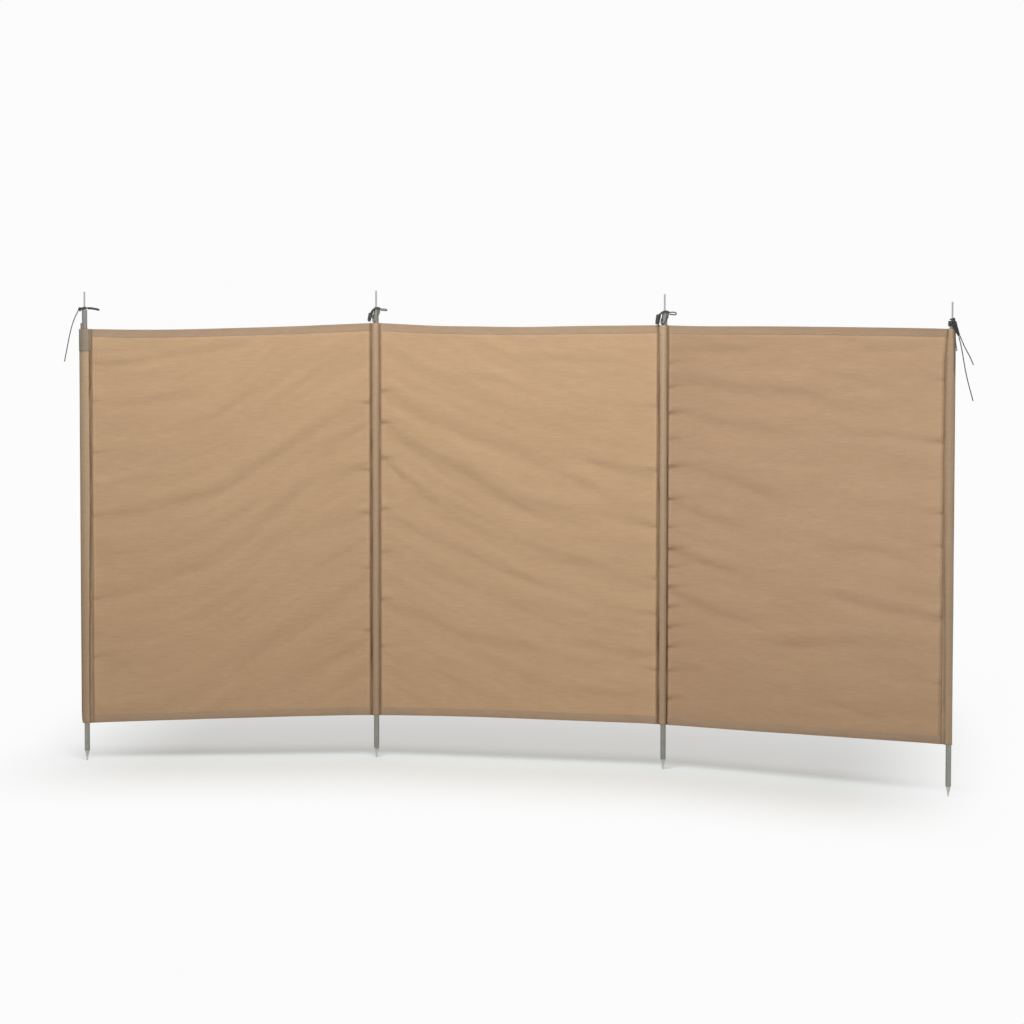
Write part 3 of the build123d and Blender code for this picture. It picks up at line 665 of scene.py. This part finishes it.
def creaseLift(across, down, width, crease, gain):
    depth, half, lip, line = crease
    depth, half = depth * gain[0], half * gain[1]
    path = smoothLine(np.array(line) * [width, cloth["height"]])
    padded = np.pad(path, ((6, 6), (0, 0)), mode="reflect", reflect_type="odd")
    path = np.stack([np.convolve(padded[:, axis], np.ones(13) / 13, "valid") for axis in (0, 1)], axis=1)
    lengths = np.linalg.norm(np.diff(path, axis=0), axis=1)
    starts = np.concatenate([[0], np.cumsum(lengths)])
    nearest = np.full(across.shape, 1e9)
    signed, along = np.zeros(across.shape), np.zeros(across.shape)
    for a, b, long, start in zip(path, path[1:], lengths, starts):
        step = (b - a) / long
        offX, offY = across - a[0], down - a[1]
        run = np.clip(offX * step[0] + offY * step[1], 0, long)
        away = np.hypot(offX - run * step[0], offY - run * step[1])
        closer = away < nearest
        nearest = np.where(closer, away, nearest)
        signed = np.where(closer, np.sign(step[0] * offY - step[1] * offX) * away, signed)
        along = np.where(closer, (start + run) / starts[-1], along)
    # The crease wanders and comes and goes along its length.
    signed = signed + half * 0.3 * softNoise(across / 150, down / 110, int(1000 * line[0][1]))
    depth = depth * (0.9 + 0.45 * softNoise(across / 160, down / 110, int(1000 * line[-1][1])))
    scaled = signed / np.where(signed > 0, half * lip, half)
    fadeIn = 1.0 if line[0][0] < 0.04 else smoothStep(along / 0.25)
    fadeOut = 1.0 if line[-1][0] > 0.96 else smoothStep((1 - along) / 0.25)
    return -depth * riseAndDip(scaled) * fadeIn * fadeOut


# A bay's two ends at each depth below its top, a little inside the edges of its sleeves.
def bayEnds(bay, down):
    heightShare = np.clip(1 - np.asarray(down, float) / cloth["height"], 0, 1)[..., None]
    ends = []
    for pole, side in ((bay, 1), (bay + 1, 0)):
        inward = direction(sleeveAngles[pole]) * (1 if side else -1)
        ends.append(poleFeet[pole] + inward * (seamReach(pole, side, heightShare) - cloth["inset"]) * mm)
    return ends


def bayLift(bay, across, down, width):
    lift = np.zeros(across.shape)
    for crease in bayCreases[bay]:
        lift += creaseLift(across, down, width, crease, creaseGain[bay])
    over = down - sagOf(rippleLines[bay], across / width) * cloth["height"]
    for size, run, rise, seed in bayFolds:
        lift += size * softNoise(across / run, over / rise, seed + bay)
    lift *= smoothStep((np.minimum(across, width - across) + 6) / 30)
    for fromEdge in (down, cloth["height"] - down):
        lift *= smoothStep((fromEdge + 25) / 60)
    for side, fromSeam in enumerate((across, width - across)):
        billow = fromSeam / cloth["billow"]
        uneven = 0.85 + 0.3 * softNoise(down / 60, 0.5, 41 + bay + side)
        lift += billows[bay][side] * billow * np.exp(1 - billow) * uneven
        for share, strength in seamPuckers[bay, side]:
            off = (down - share * cloth["height"] + 0.12 * fromSeam) / 11
            lift -= 1.7 * strength * riseAndDip(off) * np.exp(-fromSeam / 50) * smoothStep((fromSeam + 4) / 14)
        lift += 0.5 * softNoise(down / 9, fromSeam / 60, 51 + 2 * bay + side) * np.exp(-fromSeam / 24)
        lift += 0.8 * (1 - smoothStep((fromSeam - cloth["fell"]) / 2.5))
    return lift


# Beside each seam the felled edge is darkened with painted shade and ends in a painted highlight, a
# light line, and the roots of the puckers are darkened with painted shade. For each bay and side: how
# dark the fell is, how far the line lies from the seam and how light it is.
seamLines = {(0, 0): (0.06, 8.0, 0.10), (0, 1): (0.08, 9.0, 0.10), (1, 0): (0.08, 11.0, 0.10),
             (1, 1): (0.10, 9.0, 0.12), (2, 0): (0.10, 8.0, 0.10), (2, 1): (0.16, 14.0, 0.06)}
# How much painted shade darkens each bay, or painted light lightens it where it is negative, for the
# fall of the light over the cloth: at its four corners, top left, top right, bottom left and bottom
# right, and across its middle.
bayPaintedShade = [(0.0, 0.0, 0.12, 0.11, -0.03), (0.01, -0.07, 0.08, 0.01, -0.03), (0.23, -0.01, 0.22, 0.14, -0.11)]


def bayShade(bay, across, down, width):
    share, fall = across / width, down / cloth["height"]
    topLeft, topRight, bottomLeft, bottomRight, middle = bayPaintedShade[bay]
    # Painted shade over the bay, or painted light where it is negative, from its corners and middle.
    shade = ((topLeft * (1 - share) + topRight * share) * (1 - fall)
             + (bottomLeft * (1 - share) + bottomRight * share) * fall + middle * np.sin(math.pi * fall))
    # A painted highlight: a light line just below the hem.
    shade = shade - 0.08 * bell((down - cloth["underHem"]) / 4)
    for side, fromSeam in enumerate((across, width - across)):
        fellDark, lineFrom, lineLight = seamLines[bay, side]
        ragged = 1.2 * softNoise(down / 30, 0.5, 61 + 2 * bay + side)
        # Painted shade on the felled edge, and a painted highlight along its line.
        shade += fellDark * (1 - smoothStep((fromSeam - lineFrom + 3.5 + ragged) / 3))
        shade -= lineLight * bell((fromSeam - lineFrom + ragged) / 2.8)
        # Painted shade at the roots of the puckers.
        for pucker, strength in seamPuckers[bay, side]:
            off = (down - pucker * cloth["height"] + 0.12 * fromSeam - 4) / 5
            shade += 0.42 * strength * np.exp(-off**2 - fromSeam / 24)
    return shade


def bayWidth(bay):
    left, right = bayEnds(bay, cloth["height"] / 2)
    return np.linalg.norm(right - left) / mm


def bayPoints(bay, share, down, extra=0.0):
    left, right = bayEnds(bay, down)
    width = bayWidth(bay)
    lows, highs = zip(*[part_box(f"sleeve_{pole + 1}") for pole in (bay, bay + 1)])
    top = np.interp(share, (0, 1), [high.z for high in highs]) + sagOf(topSags[bay], share) * mm
    bottom = np.interp(share, (0, 1), [low.z for low in lows]) + sagOf(bottomSags[bay], share) * mm
    lift = (bayLift(bay, share * width, down, width) + extra) * mm
    points = left + share[..., None] * (right - left) + lift[..., None] * direction(bayAngles[bay] - 90)
    points[..., 2] = top + (bottom - top) * down / cloth["height"]
    return points


def bayMap(bay, share, down):
    return np.stack([share * bayWidth(bay), cloth["height"] - down], axis=-1) * mm


steps = np.linspace(0, 1, cloth["columns"])
shares = steps - 0.35 * np.sin(2 * math.pi * steps) / (2 * math.pi)  # closer together near the seams
share, down = np.meshgrid(shares, np.linspace(1.0, cloth["height"] - 1.0, cloth["rows"]))
panels = []
for bay in range(3):
    width = bayWidth(bay)
    panel = makePiece(f"bayCloth{bay + 1}", bayPoints(bay, share, down),
                      gridFaces(cloth["rows"], cloth["columns"], flip=True), endCloth if bay == 2 else bayCloth,
                      bayMap(bay, share, down), bayShade(bay, share * width, down, width))
    addThickness(panel, cloth["thickness"], offset=0)
    finishPiece(panel, f"bay_cloth_{bay + 1}")
    panels.append((panel, width))
print("bays of cloth made")

# Each hem is folded over the cloth's edge and sewn down: a flat band with a rounded edge. Its front is
# given as distances in from the edge and out from the cloth, in mm, and its back is the same.
hem = {"stitchIn": 24.0, "stitchOut": 0.95, "columns": 240, "rumple": 0.3}
hemFront = [(28.0, 0.35), (27.6, 0.75), (26.5, 1.0), (24.0, 0.8), (21.0, 1.15), (12.0, 1.25), (4.0, 1.25),
            (1.2, 1.1), (0.2, 0.6), (-0.1, 0.0)]
hemShades = {"top": (0.03, -0.04, 0.08), "bottom": (0.12, 0.10, 0.12)}  # how much darker each hem is drawn, and darker still along its edge
profile = np.array(hemFront + [(inward, -out) for inward, out in hemFront[-2::-1]])
around = len(profile)
inward, share = np.meshgrid(profile[:, 0], np.linspace(0, 1, hem["columns"]))
hemPieces = [[], [], []]
for bay in range(3):
    for edge in ("top", "bottom"):
        down = inward if edge == "top" else cloth["height"] - inward
        rumple = hem["rumple"] * softNoise(share * 1000 / 13, inward / 14, 71 + bay) * np.where(inward > 10, 1, 0.4)
        mapped = bayMap(bay, share, down)
        mapped[..., 1] += 0.4 * (profile[:, 1] < 0)  # the back shows another part of the cloth
        order = 1 if edge == "top" else -1
        faces = gridFaces(hem["columns"], around, wrap=True, flip=order > 0)
        faces.append(tuple(range(around))[::order])
        faces.append(tuple(range(around * (hem["columns"] - 1), around * hem["columns"]))[::-order])
        band = makePiece(f"{edge}Hem{bay + 1}", bayPoints(bay, share, down, profile[:, 1] * (1 + rumple)), faces,
                         hemCloth, mapped, hemShades[edge][bay] + 0.12 * smoothStep(1 - inward / 20))
        finishPiece(band, f"{edge}_hem_{bay + 1}")
        hemPieces[bay].append(band)
print("hems made")

# Each sleeve lies loosely over the front of its tube and is drawn flat to its seams. Its cloth has
# long folds along the pole and short puckers beside the seams.
sleeve = {"radius": 11.6, "least": 10.45, "seamHalf": 1.1, "thickness": 0.6, "around": 72, "rows": 204,
          "longFold": 0.9, "pucker": 0.8, "mapRadius": 0.011}
# The long folds: how dark each is painted with shade, its half-width and depth in mm, how far it
# wanders, and its place in mm to the right of the pole's axis at shares of the height from the top. A
# light one is a ridge, drawn with a painted highlight.
sleeveFolds = [
    [(0.42, 8.0, 0.0, 0.3, [(0, -23), (1, -22)]),
     (0.62, 3.8, 2.2, 1.2, [(0, 19), (0.45, 19), (0.65, 15), (0.85, 12), (1, 12)]),
     (0.22, 5.0, 0.0, 0.5, [(0, 24), (1, 22)]), (-0.18, 2.6, -0.5, 0.8, [(0, 12), (0.5, 10), (1, 6)])],
    [(0.62, 5.0, 2.0, 1.0, [(0, -19), (1, -18)]), (-0.10, 4.0, -0.5, 0.8, [(0, -1), (1, 0)]),
     (0.34, 5.0, 0.8, 0.8, [(0, 13.5), (1, 14)])],
    [(0.70, 5.2, 1.4, 1.0, [(0, -21), (0.2, -18.5), (1, -19)]), (-0.10, 4.0, -0.5, 0.8, [(0, 0), (1, 1)]),
     (0.72, 3.2, 1.4, 0.8, [(0, 13.5), (1, 14)])],
    [(0.42, 5.2, 1.7, 0.8, [(0, -16), (0.05, -19), (0.2, -22.5), (0.5, -21.5), (0.8, -16), (1, -15)]),
     (0.45, 3.0, 0.0, 0.3, [(0, 10.5), (0.1, 11), (0.2, 30), (1, 40)]),
     (0.14, 2.8, 0.5, 0.6, [(0, -7), (0.2, -10), (1, -10)]),
     (-0.26, 4.5, 0.0, 0.3, [(0, 4), (0.12, 9), (1, 10)])],
]
sleevePaintedShade = [(0.02, 0.26), (0.12, 0.30), (0.02, 0.26), (0.10, 0.18)]  # painted shade at the top and the bottom, darker downwards


# The radius, at each angle, of a cloth drawn round a tube and out to one seam.
def hullRadius(angles, radius, reach, half):
    reach = np.maximum(reach, radius + 0.01)
    corner = np.arctan2(half, reach)
    contact = corner + np.arccos(np.clip(radius / np.hypot(reach, half), -1, 1))
    bent = np.abs(angles)
    straight = radius / np.cos(np.clip(contact - bent, -1.5, 1.5))
    flat = reach / np.cos(np.clip(bent, 0, 1.5))
    return np.where(bent < corner, flat, np.where(bent < contact, straight, radius))


def foldDips(pole, across, heightShare, heightMm):
    atTop, atFoot = sleevePaintedShade[pole]
    # The painted shade deepens towards the sleeve's foot; each fold dips the cloth and adds painted shade, or a
    # painted highlight where it is light.
    dip, shade = np.zeros(across.shape), atFoot + (atTop - atFoot) * heightShare
    for number, (dark, half, depth, wander, line) in enumerate(sleeveFolds[pole]):
        path = np.interp(1 - heightShare, *np.array(line).T)
        row = number + 0.5
        path = path + wander * (softNoise(heightMm / 38, row, 131 + pole)
                                + 0.6 * softNoise(heightMm / 11, row, 135 + pole))
        near = bell((across - path) / half)
        dip += depth * near
        shade += dark * (0.9 + 0.35 * softNoise(heightMm / 75, row, 141 + pole)) * near
    return dip, shade


def sleeveRadii(pole, angles, heightShare, heightMm, grow=0.0):
    toRight, toLeft = wrapAngle(angles), wrapAngle(angles - math.pi)
    radius, half = sleeve["radius"] + grow, sleeve["seamHalf"] + grow
    before, after = seamReach(pole, 0, heightShare) + grow, seamReach(pole, 1, heightShare) + grow
    radii = np.maximum(hullRadius(toRight, radius, after, half), hullRadius(toLeft, radius, before, half))
    loose = smoothStep((radii - radius) / 5)
    folds = (softNoise(angles * 4.2, heightMm / 210, 81 + pole)
             + 0.6 * softNoise(angles * 8.5, heightMm / 90, 91 + pole))
    puckers = softNoise(angles * 2.0, heightMm / 11, 101 + pole)
    seamless = smoothStep((np.minimum(np.abs(toRight), np.abs(toLeft)) - 0.04) / 0.12)
    dip, shade = foldDips(pole, radii * np.cos(angles), heightShare, heightMm)
    rumple = (sleeve["longFold"] * folds - dip) * (0.35 + loose) + sleeve["pucker"] * puckers * loose
    return np.maximum(radii + seamless * rumple, sleeve["least"] + grow), shade


# Makes a layer of cloth round a pole from the angle, height and radius of each of its points.
def makeLayer(name, node, layer, pole, angles, heights, radii, material, shade=None, closed=True):
    right, back = direction(sleeveAngles[pole]), direction(sleeveAngles[pole] + 90)
    points = poleFeet[pole] + (radii * np.cos(angles))[..., None] * mm * right
    points += (radii * np.sin(angles))[..., None] * mm * back
    points[..., 2] = heights
    piece = makePiece(name, points, gridFaces(*angles.shape, wrap=closed), material,
                      np.stack([angles * layer["mapRadius"], heights], axis=-1), shade)
    addThickness(piece, layer["thickness"])
    finishPiece(piece, node)
    return piece


spread = np.linspace(0, 2 * math.pi, sleeve["around"], endpoint=False)
sleeveTurns = spread - 0.33 * np.sin(2 * spread)  # closer together at the two seams
for pole in range(4):
    low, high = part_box(f"sleeve_{pole + 1}")
    angles, heights = np.meshgrid(sleeveTurns, np.linspace(low.z, high.z, sleeve["rows"]))
    shares = (heights - low.z) / (high.z - low.z)
    radii, shade = sleeveRadii(pole, angles, shares, (heights - low.z) / mm)
    makeLayer(f"poleSleeve{pole + 1}", f"sleeve_{pole + 1}", sleeve, pole,
                                  angles, heights, radii, sleeveCloth, shade)
print("sleeves made")

# The patch wraps the head of the first sleeve and ends on the right, short of the seam.
patch = {"reach": 17.0, "edge": 2.2, "grow": 1.1, "rows": 26, "around": 70, "thickness": 0.8, "mapRadius": 0.012}
low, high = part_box("sleeve_patch_1")
sleeveLow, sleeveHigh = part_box("sleeve_1")
edgeAngle = math.asin(patch["edge"] / patch["reach"])
angles, heights = np.meshgrid(np.linspace(edgeAngle, 2 * math.pi - edgeAngle, patch["around"]),
                              np.linspace(low.z, high.z, patch["rows"]))
shares = (heights - sleeveLow.z) / (sleeveHigh.z - sleeveLow.z)
radii, shade = sleeveRadii(0, angles, shares, (heights - sleeveLow.z) / mm, patch["grow"])
# The patch takes half of the sleeve's painted shade.
makeLayer("sleevePatch", "sleeve_patch_1", patch, 0, angles, heights, radii, patchCloth, 0.5 * shade,
          closed=False)

# The cuff stands up on the left and behind, and lies low in front.
cuff = {"reach": 13.0, "fold": 1.5, "radius": 10.9, "rows": 10, "around": 56, "thickness": 0.8, "mapRadius": 0.011,
        "highSide": 150.0, "low": 0.12}
low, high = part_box("sleeve_cuff_1")
turns = np.linspace(0, 2 * math.pi, cuff["around"], endpoint=False)
angles, heights = np.meshgrid(turns, np.linspace(low.z, high.z, cuff["rows"]))
radii = hullRadius(wrapAngle(angles - math.pi), cuff["radius"], cuff["reach"] + cuff["fold"], cuff["fold"])
radii = np.maximum(radii + 0.25 * softNoise(angles * 3, heights / mm / 6, 121), sleeve["least"])
fromHigh = np.abs(wrapAngle(angles - math.radians(cuff["highSide"])))
heights = low.z + (heights - low.z) * (cuff["low"] + (1 - cuff["low"]) * smoothStep((1.9 - fromHigh) / 0.5))
heights[-1] += 0.8 * mm * softNoise(turns * 3, 0.0, 122)  # a frayed rim
makeLayer("sleeveCuff", "sleeve_cuff_1", cuff, 0, angles, heights, radii, patchCloth)
print("patch and cuff made")

# Lockstitches along a line: one rounded bead of thread a stitch. Real stitches are 3 mm apart; these
# are 6 mm, so that they show.
stitch = {"pitch": 6.0, "length": 4.2, "width": 0.7, "fromSeam": 3.0, "out": 0.45}
stitchTree, given, evened = startTree("stitchRow", [], ["Pitch", "Stitch Length", "Thread Width"], "Pitch")
bead = addNode(stitchTree, "GeometryNodeMeshUVSphere", {"Segments": 5, "Rings": 3, "Radius": 0.5}).outputs["Mesh"]
size = addNode(stitchTree, "ShaderNodeCombineXYZ", {"X": given["Stitch Length"], "Y": given["Thread Width"],
                                                    "Z": given["Thread Width"]}).outputs[0]
bead = addNode(stitchTree, "GeometryNodeTransform", {"Geometry": bead, "Scale": size}).outputs[0]
tangent = addNode(stitchTree, "GeometryNodeInputTangent").outputs[0]
turned = addNode(stitchTree, "FunctionNodeAlignRotationToVector", {"axis": "X", "Vector": tangent}).outputs[0]
placed = addNode(stitchTree, "GeometryNodeInstanceOnPoints",
                 {"Points": evened, "Instance": bead, "Rotation": turned}).outputs[0]
endTree(stitchTree, placed, "Stitches", threadTan)
stitchValues = {"Pitch": stitch["pitch"] * mm, "Stitch Length": stitch["length"] * mm,
                "Thread Width": stitch["width"] * mm}

for bay, (panel, width) in enumerate(panels):
    rows = []
    for facing in (1, -1):
        shares = np.linspace(0.004, 0.996, 260)
        for inward in (hem["stitchIn"], cloth["height"] - hem["stitchIn"]):
            rows.append(bayPoints(bay, shares, np.full(shares.shape, inward), facing * hem["stitchOut"]))
        downs = np.linspace(3.0, cloth["height"] - 3.0, 320)
        for inset in (stitch["fromSeam"], width - stitch["fromSeam"]):
            rows.append(bayPoints(bay, np.full(downs.shape, inset / width), downs, facing * stitch["out"]))
    edges = []
    for row, before in zip(rows, np.cumsum([0] + [len(row) for row in rows])):
        edges += lineEdges(len(row), start=int(before))
    stitches = runTree(f"bayStitches{bay + 1}", np.vstack(rows), edges, stitchTree, stitchValues)
    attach(stitches, "root")
print("stitches made")

# Electro-zinc-plated steel tube: dull grey with long soft streaks from drawing, lightly scuffed. Real
# streaks are under 1 mm wide; these are 4 mm wide and 110 mm long, over blooms of 17 mm.
zincTube = makeFinish("zincPlatedSteelDull", 260.0, 9.0, 3.0, ("#84857e", "#9b9b94"), {"Metallic": 1.0},
                      roughness=(0.34, 0.55), relief=(0.2, 0.1), blooms={"Scale": 60.0, "Detail": 4.0})
# Bright drawn steel wire: a tighter shine with fine lines along it, 1.1 mm wide so that they show.
drawnPin = makeFinish("drawnSteelBright", 900.0, 20.0, 2.0, ("#a3a3a0", "#bdbdba"), {"Metallic": 1.0},
                      roughness=(0.25, 0.4))
# Injection-moulded polypropylene, pale grey: satin, with a faint moulded grain, 0.8 mm wide where the
# real one is 0.1 mm.
plugGrey = makeFinish("mouldedPolypropyleneGrey", 1200.0, 1200.0, 2.0, ("#b9b9b4", "#c9c9c4"),
                      {"IOR": 1.49, "Roughness": 0.4}, relief=(0.15, 0.05))
# Moulded polyethylene, natural: milky and half clear, scuffed by sand in patches of 2 mm.
pointNatural = makeFinish("mouldedPolyethyleneNatural", 500.0, 500.0, 4.0, ("#d6d5cf", "#eeeeea"),
                          {"IOR": 1.51, "Transmission Weight": 0.45}, roughness=(0.3, 0.5))

for kind, material in (("pole_tube", zincTube), ("top_pin", drawnPin), ("top_plug", plugGrey),
                       ("ground_point", pointNatural)):
    for pole in range(4):
        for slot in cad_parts[f"{kind}_{pole + 1}"].material_slots:
            slot.material = material
print("pole finishes set")

# The floor shows its own shaded surface close to the windbreak and runs out to plain white: under a
# metre in front of it, quickly past its ends, and behind it past its shadow. How white it is drawn is
# worked out at each corner of its mesh, from how far ahead of the line of feet that corner lies.
stage = {"half": 30.0, "fine": (-3.4, 4.5, 0.08), "white": 0.973, "paint": "#edf0ee", "leftBend": 0.88,
         "rightBend": 1.05, "front": (-0.17, 0.88), "ends": (-0.42, 0.27), "shadow": (-0.3, 0.0),
         "shadowShare": 0.37, "nearShare": 0.04, "behind": (-0.3, -2.6)}


def easedShare(value, span):
    return smoothStep((value - span[0]) / (span[1] - span[0]))


lines = [-stage["half"], *np.arange(*stage["fine"]), stage["half"]]
across, forward = np.meshgrid(lines, lines)
outward = (stage["leftBend"] * np.maximum(poleFeet[1][0] - across, 0)
           + stage["rightBend"] * np.maximum(across - poleFeet[2][0], 0))
ahead = forward - outward * math.tan(math.radians(bayAngles[0]))
beyond = outward - (poleFeet[1][0] - poleFeet[0][0])
near = stage["shadowShare"] + (stage["nearShare"] - stage["shadowShare"]) * easedShare(ahead, stage["shadow"])
shown = ((1 - np.maximum(easedShare(ahead, stage["front"]), near)) * (1 - easedShare(beyond, stage["ends"]))
         * (1 - easedShare(ahead, stage["behind"])))


# 1 where a surface is seen as the background is: directly, in a mirror finish or through a clear one.
def backgroundShare(tree):
    seen = addNode(tree, "ShaderNodeLightPath").outputs
    share = seen["Is Camera Ray"]
    for ray in ("Is Glossy Ray", "Is Transmission Ray"):
        share = addNode(tree, "ShaderNodeMath", {"operation": "MAXIMUM", 0: share, 1: seen[ray]}).outputs[0]
    return share


floorPaint, tree = newMaterial("matteFloorPale")
whiteness = addNode(tree, "ShaderNodeAttribute", {"attribute_name": "shade"}).outputs["Fac"]
share = addNode(tree, "ShaderNodeMath", {"operation": "MULTIPLY", 0: backgroundShare(tree), 1: whiteness}).outputs[0]
surface = addNode(tree, "ShaderNodeBsdfDiffuse", {"Color": linear(stage["paint"])})
glow = addNode(tree, "ShaderNodeEmission", {"Color": linear("#ffffff"), "Strength": stage["white"]})
blend = addNode(tree, "ShaderNodeMixShader", {0: share, 1: surface.outputs[0], 2: glow.outputs[0]})
addNode(tree, "ShaderNodeOutputMaterial", {"Surface": blend.outputs[0]})
floor = makePiece("floor", np.stack([across, -forward, 0 * across], axis=-1),
                  gridFaces(len(lines), len(lines), flip=True), floorPaint, shade=1 - shown)
floor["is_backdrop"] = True

# The room is brighter behind the windbreak, where a pale backdrop would be.
room = {"light": 0.44, "backdrop": 0.25, "backdropAt": (0.2, 0.9, 0.38)}
world = bpy.data.worlds.new("paleRoom")
bpy.context.scene.world = world
world.use_nodes = True
tree = world.node_tree
tree.nodes.clear()
towards = addNode(tree, "ShaderNodeTexCoord").outputs["Generated"]
facing = addNode(tree, "ShaderNodeVectorMath", {"operation": "DOT_PRODUCT", 0: towards, 1: room["backdropAt"]})
light = addNode(tree, "ShaderNodeMapRange", {"Value": facing.outputs["Value"], "interpolation_type": "SMOOTHSTEP",
                                             "To Min": room["light"], "To Max": room["light"] + room["backdrop"]})
strength = addNode(tree, "ShaderNodeMapRange", {"Value": backgroundShare(tree), "To Min": light.outputs["Result"],
                                                "To Max": stage["white"]}).outputs["Result"]
sky = addNode(tree, "ShaderNodeBackground", {"Color": linear("#ffffff"), "Strength": strength})
addNode(tree, "ShaderNodeOutputWorld", {"Surface": sky.outputs[0]})

# A large soft lamp stands high in front, a little to the left.
softbox = {"power": 70.0, "size": (2.2, 1.5), "place": (0.28, -1.8, 3.5), "aim": (0.58, 0.0, 0.9)}
lampData = bpy.data.lights.new("frontSoftbox", "AREA")
lampData.shape = "RECTANGLE"
lampData.size, lampData.size_y = softbox["size"]
lampData.energy = softbox["power"]
lamp = bpy.data.objects.new("frontSoftbox", lampData)
lamp.location = softbox["place"]
aim = np.subtract(softbox["aim"], softbox["place"])
lamp.rotation_euler = (math.atan2(math.hypot(aim[0], aim[1]), -aim[2]), 0, math.atan2(-aim[0], aim[1]))
bpy.context.collection.objects.link(lamp)
bpy.context.scene.view_settings.view_transform = "Standard"
print("floor and light set")

low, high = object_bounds()
